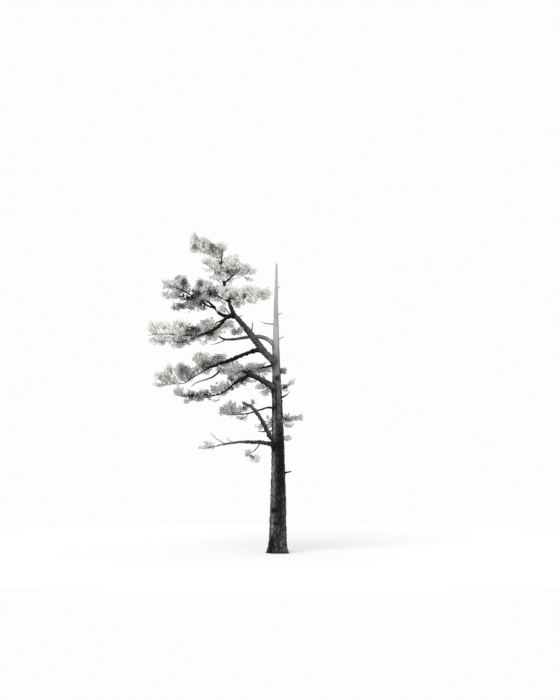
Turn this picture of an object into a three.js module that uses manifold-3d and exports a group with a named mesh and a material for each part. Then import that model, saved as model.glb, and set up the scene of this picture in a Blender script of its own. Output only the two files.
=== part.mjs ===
// A wind-blown pine: a straight trunk that ends in a bare dead spire, boughs that all sweep to the lee side,
// and needles in flat pads at the ends of the boughs.
// Millimetres and degrees, +Z up. The origin is the middle of the flat cut at ground level.
// Headings are seen from above: 0 is +X (windward), 180 is -X (lee), 270 is -Y (the front).
import * as THREE from "three";
import { mergeVertices } from "three/addons/utils/BufferGeometryUtils.js";
import Module from "manifold-3d";

// Trunk
const TRUNK_HEIGHT = 9000;
const TRUNK_FOOT_RADIUS = 276;
const TRUNK_TIP_RADIUS = 27;
const TRUNK_SWAY = { east: 28, eastWave: 4700, north: 20, northWave: 3900 };
const TRUNK_LEAN = -22;
const FLARE_HEIGHT = 170;
const FLARE = 22;
// Roots that swell out of the foot: [heading, extra radius at the ground].
const ROOTS = [
  [318, 150],
  [28, 55],
  [100, 85],
  [178, 55],
  [245, 75],
];
const ROOT_SHARPNESS = 7;
// The spire is snapped off on a slant that is highest on this heading.
const SPIRE_BREAK = 70;
const SPIRE_BREAK_HEADING = 200;

// Joints: the gap between solids, and how much a limb thickens at its foot, as a share of its radius.
const GAP = 0.4;
const COLLAR = 0.3;
const COLLAR_LENGTH = 1.5;

// Boughs: the limb that each grows from and where (a share of that limb's length, or a height on the trunk),
// its length, how steeply it rises and where it heads, at even steps along it, and its radius at both ends.
const LIMBS = {
  leader: {
    from: "trunk", at: 5950, length: 2100,
    rise: [30, 55, 50, 45], heading: [185, 195], root: 112, tip: 68,
  },
  leader_top: {
    from: "leader", at: 0.98, length: 1680,
    rise: [75, 70, 80], heading: [175, 110], root: 60, tip: 26,
  },
  upper_bough: {
    from: "leader", at: 0.95, length: 1030,
    rise: [-15, 5, 55, 35], heading: [155, 145, 200], root: 54, tip: 34,
  },
  upper_outer: {
    from: "upper_bough", at: 0.76, length: 1270,
    rise: [10, 35, 25], heading: [140, 180], root: 30, tip: 17,
  },
  upper_spur: {
    from: "upper_bough", at: 0.14, length: 200,
    rise: [70, 50], heading: [150, 170], root: 20, tip: 14,
  },
  second_bough: {
    from: "leader", at: 0.93, length: 1700,
    rise: [0, -50, -15, -30], heading: [215, 195], root: 56, tip: 30,
  },
  second_outer: {
    from: "second_bough", at: 0.78, length: 970,
    rise: [-5, 5], heading: [210, 195], root: 24, tip: 15,
  },
  second_rise: {
    from: "second_bough", at: 0.3, length: 570,
    rise: [10, -25], heading: [105, 130], root: 24, tip: 17,
  },
  crossing_bough: {
    from: "trunk", at: 6400, length: 2220,
    rise: [50, 25, -5, -10, 0, 65], heading: [145, 165, 155], root: 74, tip: 24,
  },
  third_bough: {
    from: "leader", at: 0.277, length: 1480,
    rise: [-5, -20, -25, -10], heading: [175, 170], root: 64, tip: 46,
  },
  third_fork: {
    from: "third_bough", at: 0.96, length: 500,
    rise: [-30, 5], heading: [150, 170], root: 38, tip: 26,
  },
  third_outer: {
    from: "third_fork", at: 0.6, length: 760,
    rise: [-25, -30], heading: [150, 160], root: 24, tip: 17,
  },
  third_drop: {
    from: "third_bough", at: 0.93, length: 1320,
    rise: [-80, -43, -20, -15, -45], heading: [250, 195, 200], root: 34, tip: 10,
  },
  fourth_bough: {
    from: "trunk", at: 5090, length: 1070,
    rise: [35, 20], heading: [195, 190], root: 100, tip: 66,
  },
  fourth_left: {
    from: "fourth_bough", at: 0.95, length: 1090,
    rise: [-40, -20, -45, -20], heading: [215, 195], root: 52, tip: 27,
  },
  fourth_outer: {
    from: "fourth_left", at: 0.76, length: 780,
    rise: [-30, -5], heading: [225, 195], root: 24, tip: 16,
  },
  fourth_up: {
    from: "fourth_bough", at: 0.96, length: 440,
    rise: [25, 0], heading: [120, 135], root: 42, tip: 27,
  },
  back_bough: {
    from: "trunk", at: 5890, length: 700,
    rise: [-15, -5], heading: [125, 135], root: 40, tip: 27,
  },
  broken_limb: {
    from: "trunk", at: 3330, length: 1920,
    rise: [35, 60, 55, 15], heading: [225, 195], root: 72, tip: 42,
  },
  broken_spur: {
    from: "broken_limb", at: 0.84, length: 170,
    rise: [50, 60], heading: [60, 20], root: 18, tip: 13,
  },
  fifth_bough: {
    from: "trunk", at: 4445, length: 1310,
    rise: [35, -20, -15, 0], heading: [160, 180], root: 34, tip: 19,
  },
  low_bough: {
    from: "trunk", at: 3365, length: 2010,
    rise: [10, 5, -5, -15], heading: [195, 190], root: 70, tip: 17,
  },
  low_twig: {
    from: "low_bough", at: 0.29, length: 570,
    rise: [-45, -25], heading: [250, 210], root: 20, tip: 12,
  },
  crown_left_bough: {
    from: "leader_top", at: 0.72, length: 330,
    rise: [35, 30], heading: [225, 210], root: 24, tip: 16,
  },
  crown_right_bough: {
    from: "leader_top", at: 0.58, length: 410,
    rise: [30, 40], heading: [55, 20], root: 28, tip: 19,
  },
  shelf_right_bough: {
    from: "leader_top", at: 0.25, length: 340,
    rise: [80, -5], heading: [-50, 30], root: 34, tip: 24,
  },
  shelf_left_bough: {
    from: "leader_top", at: 0.22, length: 540,
    rise: [15, 25], heading: [135, 130], root: 32, tip: 22,
  },
  mid_spur: {
    from: "leader", at: 0.68, length: 420,
    rise: [-5, -5], heading: [260, 230], root: 18, tip: 12,
  },
};

// Bare dead twigs, fused to their limb: [limb, where on it, length, rise, heading, radius]. Half way along,
// each turns by "bend", [rise, heading], and it thins from the first share of its radius to the last.
const DEAD_TWIG = { bend: [12, 14], thins: [1.15, 0.5] };
const DEAD_TWIGS = [
  ["trunk", 8220, 130, 35, 5, 12],
  ["trunk", 7410, 150, 15, 350, 14],
  ["trunk", 7120, 400, 4, 176, 18],
  ["trunk", 6630, 200, 22, 8, 16],
  ["trunk", 4770, 290, 26, 352, 34],
  ["trunk", 2480, 250, 6, 10, 36],
  ["trunk", 3830, 480, -8, 168, 26],
  ["leader", 0.57, 310, 76, 350, 22],
  ["leader", 0.9, 160, 14, 10, 15],
  ["crossing_bough", 0.82, 480, -24, 190, 16],
  ["third_outer", 0.92, 180, -62, 190, 9],
  ["low_bough", 0.84, 560, 30, 176, 10],
  ["low_bough", 0.7, 260, 26, 184, 11],
  ["fifth_bough", 0.72, 330, -40, 192, 10],
  ["fifth_bough", 0.85, 170, -66, 170, 8],
];

// Foliage masses. Each grows from the tip of its bough, or from the trunk at a height, along a stem that
// ends at "end". Its space is one or more lobes, [east, north, up, half length, half width, half height].
// "end" and the lobes are measured from the stem's foot. "tone" is how pale the needles are, from 0 to 1,
// and "seed" picks how the twigs are scattered.
const MASSES = {
  crest: {
    from: "leader_top", end: [-860, -160, 830],
    lobes: [[-700, -160, 540, 340, 380, 400], [-150, 190, 390, 350, 380, 290]],
    tone: 0.7, seed: 9,
  },
  crown_left: {
    from: "crown_left_bough", end: [-420, -280, 290],
    lobes: [[-170, -200, 190, 340, 440, 270], [80, -130, -200, 300, 360, 140]],
    tone: 0.7, seed: 21,
  },
  crown_right: {
    from: "crown_right_bough", end: [520, 200, 300],
    lobes: [[0, 130, 380, 510, 640, 390], [530, 180, 200, 250, 380, 200]],
    tone: 0.85, seed: 23,
  },
  shelf_right: {
    from: "shelf_right_bough", end: [1030, 140, 90],
    lobes: [
      [-130, -170, 140, 460, 620, 270],
      [670, 80, 60, 460, 640, 270],
      [60, -230, -200, 240, 400, 200],
    ],
    tone: 0.85, seed: 47,
  },
  shelf_left: {
    from: "shelf_left_bough", end: [-700, 420, 420],
    lobes: [[-420, 290, 220, 430, 740, 340]],
    tone: 0.5, seed: 14,
  },
  upper_pad: {
    from: "upper_bough", end: [-920, -520, 30],
    lobes: [[-520, -330, 90, 440, 620, 240], [-800, -450, -90, 360, 420, 160]],
    tone: 0.3, seed: 3,
  },
  upper_tip: {
    from: "upper_outer", end: [-470, 150, 180],
    lobes: [[-260, 80, 60, 410, 560, 350], [40, 240, 290, 240, 400, 240]],
    tone: 0.6, seed: 13,
  },
  upper_inner: {
    from: "upper_spur", end: [-170, 100, 60],
    lobes: [[-60, 30, 60, 210, 300, 150]],
    tone: 0.9, seed: 20,
  },
  second_main: {
    from: "second_bough", end: [-500, -210, -80],
    lobes: [[-390, -60, 180, 360, 560, 400], [60, 0, 230, 370, 620, 370]],
    tone: 0.5, seed: 44,
  },
  second_tip: {
    from: "second_outer", end: [-740, -100, -20],
    lobes: [[-470, 70, 200, 430, 480, 240], [-430, -120, -170, 430, 440, 190]],
    tone: 0.9, seed: 15,
  },
  second_inner: {
    from: "second_rise", end: [-350, -70, -60],
    lobes: [
      [-200, -70, -80, 320, 500, 300],
      [320, 170, -60, 360, 440, 210],
      [-80, -100, -370, 220, 340, 160],
    ],
    tone: 0.6, seed: 23,
  },
  crossing_pad: {
    from: "crossing_bough", end: [-520, 450, 170],
    lobes: [[-310, 340, 140, 330, 500, 240]],
    tone: 0.5, seed: 11,
  },
  mid_tuft: {
    from: "mid_spur", end: [-220, -200, -80],
    lobes: [[-70, -120, -70, 240, 280, 140]],
    tone: 0.5, seed: 1,
  },
  third_pad: {
    from: "third_fork", end: [-270, 140, 300],
    lobes: [[-80, 70, 160, 380, 620, 370], [460, 120, 310, 250, 340, 180]],
    tone: 0.6, seed: 2,
  },
  third_tip: {
    from: "third_outer", end: [-1090, 280, -200],
    lobes: [[-270, 30, 220, 330, 520, 310], [-790, 200, 80, 420, 520, 310]],
    tone: 0.55, seed: 4,
  },
  fourth_pad: {
    from: "fourth_up", end: [-540, 250, 130],
    lobes: [[-300, 130, 80, 500, 680, 270], [-40, -150, -270, 370, 380, 200]],
    tone: 0.5, seed: 52,
  },
  back_pad: {
    from: "back_bough", end: [-460, 810, -10],
    lobes: [[-140, 560, -20, 440, 640, 220]],
    tone: 0.5, seed: 20,
  },
  fourth_out: {
    from: "fourth_left", end: [-290, -90, 200],
    lobes: [[20, -20, 150, 430, 500, 250]],
    tone: 0.45, seed: 17,
  },
  fourth_tip: {
    from: "fourth_outer", end: [-750, -190, 60],
    lobes: [[-290, -90, 40, 460, 500, 210], [-890, -250, 150, 210, 320, 160]],
    tone: 0.35, seed: 41,
  },
  fourth_under: {
    from: "trunk", at: 5310, end: [-600, 600, -180],
    lobes: [[-430, 440, -230, 310, 420, 180]],
    tone: 0.7, seed: 28,
  },
  fifth_pad: {
    from: "fifth_bough", end: [-520, 90, 80],
    lobes: [[-210, 40, 200, 410, 520, 240]],
    tone: 0.5, seed: 51,
  },
  broken_tuft: {
    from: "broken_spur", end: [40, 50, 80],
    lobes: [[20, 20, 40, 110, 180, 110]],
    tone: 0.7, seed: 44,
  },
  low_tip: {
    from: "low_bough", end: [-460, -100, -20],
    lobes: [[-320, -80, 30, 240, 380, 180]],
    tone: 0.8, seed: 9,
  },
  low_under: {
    from: "low_twig", end: [-180, -70, -30],
    lobes: [[-110, -50, 30, 180, 260, 130], [170, 30, -190, 160, 260, 160]],
    tone: 0.7, seed: 9,
  },
  inner_tuft: {
    from: "trunk", at: 4020, end: [-620, 330, 120],
    lobes: [[-440, 250, 80, 280, 380, 210]],
    tone: 0.65, seed: 37,
  },
  right_high_tuft: {
    from: "trunk", at: 5580, end: [280, 170, 120],
    lobes: [[230, 140, 90, 140, 220, 120]],
    tone: 0.5, seed: 20,
  },
  right_mid_tuft: {
    from: "trunk", at: 5050, end: [460, -130, 280],
    lobes: [[350, -110, 170, 240, 320, 190]],
    tone: 0.6, seed: 7,
  },
  right_spray: {
    from: "trunk", at: 3990, end: [750, 30, 310],
    lobes: [[490, 0, 180, 360, 380, 210]],
    tone: 0.6, seed: 52,
  },
  right_low_tuft: {
    from: "trunk", at: 3490, end: [370, 70, 110],
    lobes: [[310, 60, 90, 140, 200, 100]],
    tone: 0.7, seed: 9,
  },
};

// Twigs: how many there are for each spray-sized patch of a lobe's skin, how high and low on the lobe they
// reach (as shares of its half height), and how near the skin (as a share of the way out).
const TWIG_DENSITY = 2.8;
const FEWEST_TWIGS = 3;
const GOLDEN_ANGLE = 137.508;
const HIGHEST_TWIG = 0.92;
const LOWEST_TWIG = -0.7;
const TWIG_DEPTH = [0.88, 1];
// A twig leaves the stem before the stem's nearest point to its target, by this share of the stem, and keeps
// to this stretch of the stem. It bends by a share of its reach, and runs on into its tip spray.
const TWIG_SWEEP = 0.3;
const TWIG_FEET = [0.06, 0.92];
const STEM_SAMPLES = 12;
const TWIG_BEND = 0.45;
const TWIG_RUN_ON = 0.2;
const SHORTEST_TWIG = 0.35;
const TWIG_RADIUS = 9;
const TWIG_THINS = [1, 0.5];
const STEM_TIP_RADIUS = 7;
const STEM_FOOT_ON_TRUNK = 16;
const STEM_ELBOW = 0.3;

// Sprays of needles. Sizes are shares of the longest spray in the lobe; turns are in degrees to either side.
const LONGEST_SPRAY = 480;
const TIP_SPRAY = { size: [0.85, 1.15], lift: 0.35, past: 0.92 };
const SIDE_SPRAY = { at: [0.7, 0.45, 0.24], size: [0.72, 0.96], turn: [38, 58], lift: [0.12, 0.42] };
const STEM_SPRAY = { spacing: 170, size: 0.9, turn: [40, 65], lift: [0.1, 0.6] };
const STEM_END_SPRAY = { at: 0.97, size: 0.8 };
const SPRAY_ROLL = [30, 75];
const SPRAY_SPACING = 0.54;
const SPRAY_CHECKS = [0.55, 0.8, 1];
const TWIG_CHECK = 0.6;
const SPRAY_WIDTH = 0.9;
const SPRAY_THICKNESS = 0.09;
// A spray's half outline, as shares of its length and width: tip, notch, tooth, notch, tooth, neck, root.
const SPRAY_OUTLINE = [
  [1, 0],
  [0.68, 0.13],
  [0.88, 0.36],
  [0.46, 0.17],
  [0.52, 0.52],
  [0.1, 0.05],
  [-0.01, 0],
];
const SPRAY_MIDDLE = 0.42;
// How far outside its lobes a mass may reach, as a share of their size.
const SPACE_EDGE = 1.12;

const COLOURS = {
  trunk: 0x4b4741,
  limb: 0x35322e,
  paleNeedles: 0xa9b0a2,
  darkNeedles: 0x454c42,
};

// Detail of the solids. The trunk's rings crowd together towards the ground, by a power of the height.
const TRUNK_DETAIL = { sides: 20, rings: 16, crowding: 1.7 };
const LIMB_STEP = 100;
const RING_SPACING = 300;
const SLIVER = 0.1;
const UP = new THREE.Vector3(0, 0, 1);
const wasm = await Module();
wasm.setup();

const radians = THREE.MathUtils.degToRad;

// A repeatable source of numbers from 0 to 1.
function dice(seed) {
  let state = seed >>> 0;
  return () => {
    state = (Math.imul(state, 1664525) + 1013904223) >>> 0;
    return state / 4294967296;
  };
}

// A number between two values, to one side or the other.
function eitherWay([least, most], roll) {
  const value = 2 * roll() - 1;
  return Math.sign(value) * THREE.MathUtils.lerp(least, most, Math.abs(value));
}

function between([least, most], roll) {
  return THREE.MathUtils.lerp(least, most, roll());
}

function direction(rise, heading) {
  const flat = Math.cos(radians(rise));
  return new THREE.Vector3(
    flat * Math.cos(radians(heading)),
    flat * Math.sin(radians(heading)),
    Math.sin(radians(rise)),
  );
}

function solidOf(geometry) {
  const bare = geometry.clone();
  bare.deleteAttribute("normal");
  bare.deleteAttribute("uv");
  const merged = mergeVertices(bare, 1e-3);
  return new wasm.Manifold(
    new wasm.Mesh({
      numProp: 3,
      vertProperties: merged.attributes.position.array,
      triVerts: new Uint32Array(merged.index.array),
    }),
  );
}

function geometryOf(solid) {
  const mesh = solid.getMesh();
  const geometry = new THREE.BufferGeometry();
  geometry.setAttribute("position", new THREE.BufferAttribute(mesh.vertProperties, 3));
  geometry.setIndex(new THREE.BufferAttribute(mesh.triVerts, 1));
  return geometry.toNonIndexed();
}

// A solid without the needless corners that cuts and joins leave, and without their scraps.
function tidied(solid) {
  return largest(solid.simplify(SLIVER));
}

// The largest body of a solid.
function largest(solid) {
  return solid.decompose().sort((a, b) => b.volume() - a.volume())[0];
}

// A round bar bent along a curve, with closed ends. radiusAt takes the share of the length.
function bentBar(curve, radiusAt, sides, rings, extra = 0) {
  const bar = new THREE.CylinderGeometry(1, 1, 1, sides, rings);
  const frames = curve.computeFrenetFrames(rings, false);
  const place = bar.getAttribute("position");
  for (let i = 0; i < place.count; i++) {
    const share = place.getY(i) + 0.5;
    const ring = Math.round(share * rings);
    const radius = radiusAt(ring / rings) + extra;
    const past = ring === 0 ? -extra : ring === rings ? extra : 0;
    const point = curve
      .getPointAt(ring / rings)
      .addScaledVector(frames.tangents[ring], past)
      .addScaledVector(frames.normals[ring], place.getX(i) * radius)
      .addScaledVector(frames.binormals[ring], -place.getZ(i) * radius);
    place.setXYZ(i, point.x, point.y, point.z);
  }
  return bar;
}

function trunkCentre(height) {
  const { east, eastWave, north, northWave } = TRUNK_SWAY;
  const lean = TRUNK_LEAN * (height / TRUNK_HEIGHT);
  return new THREE.Vector3(
    lean + east * Math.sin((Math.PI * height) / eastWave),
    north * Math.sin((Math.PI * height) / northWave),
    height,
  );
}

// The trunk's radius at a height, with the root flare towards each root.
function trunkRadius(height, heading) {
  const taper = TRUNK_TIP_RADIUS + (TRUNK_FOOT_RADIUS - TRUNK_TIP_RADIUS) * (1 - height / TRUNK_HEIGHT);
  const roots = ROOTS.reduce(
    (sum, [at, size]) => sum + size * Math.max(0, Math.cos(radians(heading - at))) ** ROOT_SHARPNESS,
    FLARE,
  );
  return taper + roots * Math.exp(-height / FLARE_HEIGHT);
}

function trunkGeometry(extra) {
  const { sides, rings, crowding } = TRUNK_DETAIL;
  const trunk = new THREE.CylinderGeometry(1, 1, 1, sides, rings).rotateX(Math.PI / 2);
  const place = trunk.getAttribute("position");
  for (let i = 0; i < place.count; i++) {
    const share = THREE.MathUtils.clamp(place.getZ(i) + 0.5, 0, 1);
    const height = TRUNK_HEIGHT * share ** crowding;
    const heading = THREE.MathUtils.radToDeg(Math.atan2(place.getY(i), place.getX(i)));
    const spread = Math.hypot(place.getX(i), place.getY(i)) * (trunkRadius(height, heading) + extra);
    const centre = trunkCentre(height);
    const atRim = share === 1 && spread > 0;
    const snapped = atRim ? SPIRE_BREAK * Math.cos(radians(heading - SPIRE_BREAK_HEADING)) : 0;
    place.setXYZ(
      i,
      centre.x + spread * Math.cos(radians(heading)),
      centre.y + spread * Math.sin(radians(heading)),
      height + snapped,
    );
  }
  return trunk;
}

// The value at a share of the way along values that are spaced evenly.
function blend(values, share) {
  const place = share * (values.length - 1);
  const before = Math.min(Math.floor(place), values.length - 2);
  return THREE.MathUtils.lerp(values[before], values[before + 1], place - before);
}

// The line that a limb grows along, step by step.
function limbCurve({ from, at, length, rise, heading }) {
  const steps = Math.max(6, Math.round(length / LIMB_STEP));
  const points = [from === "trunk" ? trunkCentre(at) : CURVES[from].getPointAt(at)];
  for (let i = 0; i < steps; i++) {
    const share = (i + 0.5) / steps;
    const step = direction(blend(rise, share), blend(heading, share)).multiplyScalar(length / steps);
    points.push(points[i].clone().add(step));
  }
  return new THREE.CatmullRomCurve3(points, false, "catmullrom", 0.5);
}

const CURVES = {};
for (const [name, limb] of Object.entries(LIMBS)) {
  CURVES[name] = limbCurve(limb);
}

function limbRadius(name, share) {
  const { length, root, tip } = LIMBS[name];
  const collar = COLLAR * root * Math.exp((-share * length) / (COLLAR_LENGTH * root));
  return root + (tip - root) * share + collar;
}

function limbSolid(name, extra) {
  const { length, root } = LIMBS[name];
  const sides = root > 90 ? 8 : root > 40 ? 6 : 5;
  const rings = Math.max(2, Math.round(length / RING_SPACING));
  return solidOf(bentBar(CURVES[name], (share) => limbRadius(name, share), sides, rings, extra));
}

function deadTwigSolid([limb, at, length, rise, heading, radius]) {
  const onTrunk = limb === "trunk";
  const foot = onTrunk ? trunkCentre(at) : CURVES[limb].getPointAt(at);
  const depth = onTrunk ? trunkRadius(at, heading) : limbRadius(limb, at);
  const knee = foot.clone().addScaledVector(direction(rise, heading), depth + length / 2);
  const [lift, turn] = DEAD_TWIG.bend;
  const tip = knee.clone().addScaledVector(direction(rise + lift, heading + turn), length / 2);
  const curve = new THREE.CatmullRomCurve3([foot, knee, tip], false, "catmullrom", 0.5);
  return solidOf(bentBar(curve, (share) => radius * blend(DEAD_TWIG.thins, share), 4, 2));
}

function withDeadTwigs(name, solid) {
  const twigs = DEAD_TWIGS.filter(([limb]) => limb === name);
  return twigs.reduce((sum, twig) => sum.add(deadTwigSolid(twig)), solid);
}

// A spray of needles: a thin blade whose outline is cut into teeth, thickest along its middle.
// It starts at the root point, runs along "way", and "face" is roughly the way its flat side looks.
function sprayGeometry({ root, way, face, length }) {
  const corners = SPRAY_OUTLINE.length - 1;
  const blade = new THREE.SphereGeometry(1, corners * 2, 2);
  const across = new THREE.Vector3().crossVectors(way, face).normalize();
  const normal = new THREE.Vector3().crossVectors(across, way).normalize();
  const place = blade.getAttribute("position");
  for (let i = 0; i < place.count; i++) {
    const pole = Math.abs(place.getY(i)) > 0.5 ? Math.sign(place.getY(i)) : 0;
    const turn = Math.atan2(place.getZ(i), place.getX(i));
    const corner = Math.round((Math.abs(turn) / Math.PI) * corners);
    const [along, out] = pole ? [SPRAY_MIDDLE, 0] : SPRAY_OUTLINE[corner];
    const point = root
      .clone()
      .addScaledVector(way, along * length)
      .addScaledVector(across, out * Math.sign(turn) * SPRAY_WIDTH * length)
      .addScaledVector(normal, pole * SPRAY_THICKNESS * 0.5 * length);
    place.setXYZ(i, point.x, point.y, point.z);
  }
  return blade;
}

function vector([x, y, z]) {
  return new THREE.Vector3(x, y, z);
}

// Where a mass's stem starts, the way that it sets off, and how thick it is there.
function massFoot({ from, at, end }) {
  if (from === "trunk") {
    return { foot: trunkCentre(at), along: vector(end).normalize(), radius: STEM_FOOT_ON_TRUNK };
  }
  const along = CURVES[from].getTangentAt(1);
  const foot = CURVES[from].getPointAt(1).addScaledVector(along, GAP);
  return { foot, along, radius: LIMBS[from].tip };
}

function lobesOf(mass) {
  const { foot } = massFoot(mass);
  return mass.lobes.map(([east, north, up, a, b, c]) => ({
    centre: new THREE.Vector3(east, north, up).add(foot),
    half: new THREE.Vector3(a, b, c),
  }));
}

const LOBES = Object.fromEntries(Object.entries(MASSES).map(([name, mass]) => [name, lobesOf(mass)]));

// How deep a point is in a mass's space: 0 at a lobe's middle, 1 on its skin.
function depthIn(name, point) {
  const depths = LOBES[name].map(({ centre, half }) => point.clone().sub(centre).divide(half).length());
  return Math.min(...depths);
}

// Whether a point is in the mass's own space and in no other's.
function owns(name, point) {
  const depth = depthIn(name, point);
  if (depth >= SPACE_EDGE) return false;
  return Object.keys(LOBES).every((other) => other === name || depthIn(other, point) > depth);
}

// A way turned about the vertical and lifted.
function turned(way, heading, lift) {
  return way.clone().applyAxisAngle(UP, radians(heading)).addScaledVector(UP, lift).normalize();
}

// The face of a spray that rises along "way", rolled about it.
function rolledFace(way, roll) {
  return UP.clone().addScaledVector(way, -UP.dot(way)).normalize().applyAxisAngle(way, radians(roll));
}

// Small lobes have small sprays.
function longestSpray({ half }) {
  return Math.min(LONGEST_SPRAY, Math.sqrt(half.x * half.y));
}

// Where the twigs of a lobe end: points spread evenly over its skin, from its top to below its middle.
function twigTargets({ centre, half }, roll) {
  const size = (half.x * half.y + half.x * half.z + half.y * half.z) / longestSpray({ half }) ** 2;
  const count = Math.max(FEWEST_TWIGS, Math.round(TWIG_DENSITY * size));
  const phase = 360 * roll();
  return Array.from({ length: count }, (_, k) => {
    const high = HIGHEST_TWIG - ((HIGHEST_TWIG - LOWEST_TWIG) * (k + 0.5)) / count;
    const turn = radians(phase + k * GOLDEN_ANGLE);
    const ring = Math.sqrt(1 - high * high);
    return new THREE.Vector3(ring * Math.cos(turn), ring * Math.sin(turn), high)
      .multiplyScalar(between(TWIG_DEPTH, roll))
      .multiply(half)
      .add(centre);
  });
}

// The share of a stem's length that is nearest to a point.
function nearestShare(stem, point) {
  const shares = Array.from({ length: STEM_SAMPLES + 1 }, (_, i) => i / STEM_SAMPLES);
  const apart = (share) => stem.getPointAt(share).distanceTo(point);
  return shares.reduce((best, share) => (apart(share) < apart(best) ? share : best));
}

// The sprays at the sides of a twig, left and right in turn.
function sideSprays(curve, length, roll) {
  return SIDE_SPRAY.at.map((share, j) => {
    const turn = (j % 2 ? 1 : -1) * between(SIDE_SPRAY.turn, roll);
    const way = turned(curve.getTangent(share), turn, between(SIDE_SPRAY.lift, roll));
    const size = length * between(SIDE_SPRAY.size, roll);
    return { root: curve.getPoint(share), way, roll: eitherWay(SPRAY_ROLL, roll), length: size };
  });
}

// One twig from the stem to a target, with a spray at its tip and sprays at its sides. Where the target is
// close to the stem, the spray grows on the stem itself.
function growTwig(stem, target, longest, roll) {
  const before = nearestShare(stem, target) - TWIG_SWEEP;
  const attach = stem.getPointAt(THREE.MathUtils.clamp(before, ...TWIG_FEET));
  const length = longest * between(TIP_SPRAY.size, roll);
  const out = target.clone().sub(attach).normalize();
  const tipWay = out.clone().addScaledVector(UP, TIP_SPRAY.lift).normalize();
  const tip = target.clone().addScaledVector(tipWay, -TIP_SPRAY.past * length);
  const reach = tip.distanceTo(attach);
  const tipRoll = eitherWay(SPRAY_ROLL, roll);
  if (reach < SHORTEST_TWIG * length || out.dot(tip.clone().sub(attach)) < 0) {
    const short = Math.min(length, attach.distanceTo(target));
    return { curve: null, sprays: [{ root: attach, way: out, roll: tipRoll, length: short }] };
  }
  const bend = tip.clone().addScaledVector(tipWay, -TWIG_BEND * reach);
  const end = tip.clone().addScaledVector(tipWay, TWIG_RUN_ON * length);
  const curve = new THREE.QuadraticBezierCurve3(attach, bend, end);
  const atTip = { root: tip, way: tipWay, roll: tipRoll, length };
  return { curve, sprays: [atTip, ...sideSprays(curve, length, roll)] };
}

// The sprays that stand along a stem, to one side and the other, and the one at its tip.
function stemSprays(stem, longest, roll) {
  const count = Math.round(stem.getLength() / STEM_SPRAY.spacing);
  const { at, size } = STEM_END_SPRAY;
  const last = { root: stem.getPointAt(at), way: stem.getTangentAt(1), roll: 0, length: size * longest };
  const sprays = [last];
  for (let i = 1; i < count; i++) {
    const share = 1 - i / count;
    const turn = (i % 2 ? 1 : -1) * between(STEM_SPRAY.turn, roll);
    const way = turned(stem.getTangentAt(share), turn, between(STEM_SPRAY.lift, roll));
    const length = STEM_SPRAY.size * longest;
    sprays.push({ root: stem.getPointAt(share), way, roll: eitherWay(SPRAY_ROLL, roll), length });
  }
  return sprays.map((spray) => ({ curve: null, sprays: [spray] }));
}

// The twigs of a mass with the sprays that keep to its own space and stay apart. A twig without its tip
// spray goes.
function thinned(name, twigs) {
  const middles = [];
  const isKept = ({ root, way, length }) => {
    const checked = SPRAY_CHECKS.map((share) => root.clone().addScaledVector(way, share * length));
    const middle = checked[0];
    if (!checked.every((point) => owns(name, point))) return false;
    if (middles.some((other) => other.distanceTo(middle) < SPRAY_SPACING * length)) return false;
    middles.push(middle);
    return true;
  };
  return twigs
    .filter(({ curve, sprays }) => isKept(sprays[0]) && (!curve || owns(name, curve.getPoint(TWIG_CHECK))))
    .map(({ curve, sprays: [tip, ...sides] }) => ({ curve, sprays: [tip, ...sides.filter(isKept)] }));
}

// Everything in a mass, as plain lines: its stem, and its twigs with their sprays.
function growMass(name) {
  const roll = dice(MASSES[name].seed * 7919);
  const { foot, along, radius } = massFoot(MASSES[name]);
  const end = vector(MASSES[name].end).add(foot);
  const elbow = foot.clone().addScaledVector(along, STEM_ELBOW * foot.distanceTo(end));
  const stem = new THREE.CatmullRomCurve3([foot, elbow, end], false, "catmullrom", 0.5);
  const twigs = LOBES[name].flatMap((lobe) =>
    twigTargets(lobe, roll).map((target) => growTwig(stem, target, longestSpray(lobe), roll)),
  );
  const onStem = stemSprays(stem, longestSpray(LOBES[name][0]), roll);
  return { stem, radius, twigs: thinned(name, [...onStem, ...twigs]) };
}

function boxesMeet(a, b) {
  const one = a.boundingBox();
  const two = b.boundingBox();
  return [0, 1, 2].every((k) => one.min[k] < two.max[k] + 1 && two.min[k] < one.max[k] + 1);
}

function isClear(solid, others) {
  return others.filter((other) => boxesMeet(other, solid)).every((other) => solid.minGap(other, 1) >= GAP);
}

// One mass as a solid: its stem, then each twig and spray that keeps to its own space and touches nothing
// else.
function massSolid(name, others) {
  const { stem, radius, twigs } = growMass(name);
  const bar = bentBar(stem, (share) => blend([radius, STEM_TIP_RADIUS], share), 5, 4);
  const kept = [largest(solidOf(bar).subtract(trunkCutter))];
  for (const { curve, sprays } of twigs) {
    if (curve) {
      const twig = solidOf(bentBar(curve, (share) => TWIG_RADIUS * blend(TWIG_THINS, share), 3, 2));
      if (!isClear(twig, others)) continue;
      kept.push(twig);
    }
    for (const spray of sprays) {
      const blade = solidOf(sprayGeometry({ ...spray, face: rolledFace(spray.way, spray.roll) }));
      if (isClear(blade, others)) kept.push(blade);
    }
  }
  return tidied(wasm.Manifold.union(kept));
}

function namedMesh(name, solid, colour, roughness) {
  const material = new THREE.MeshStandardMaterial({ color: colour, roughness, metalness: 0 });
  const mesh = new THREE.Mesh(geometryOf(solid), material);
  mesh.name = name;
  return mesh;
}

function needleColour(tone) {
  return new THREE.Color(COLOURS.darkNeedles).lerp(new THREE.Color(COLOURS.paleNeedles), tone);
}

const pine = new THREE.Group();
pine.name = "pine_tree";

const trunkCutter = solidOf(trunkGeometry(GAP));
const trunk = tidied(withDeadTwigs("trunk", solidOf(trunkGeometry(0))));
pine.add(namedMesh("trunk", trunk, COLOURS.trunk, 0.95));

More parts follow.
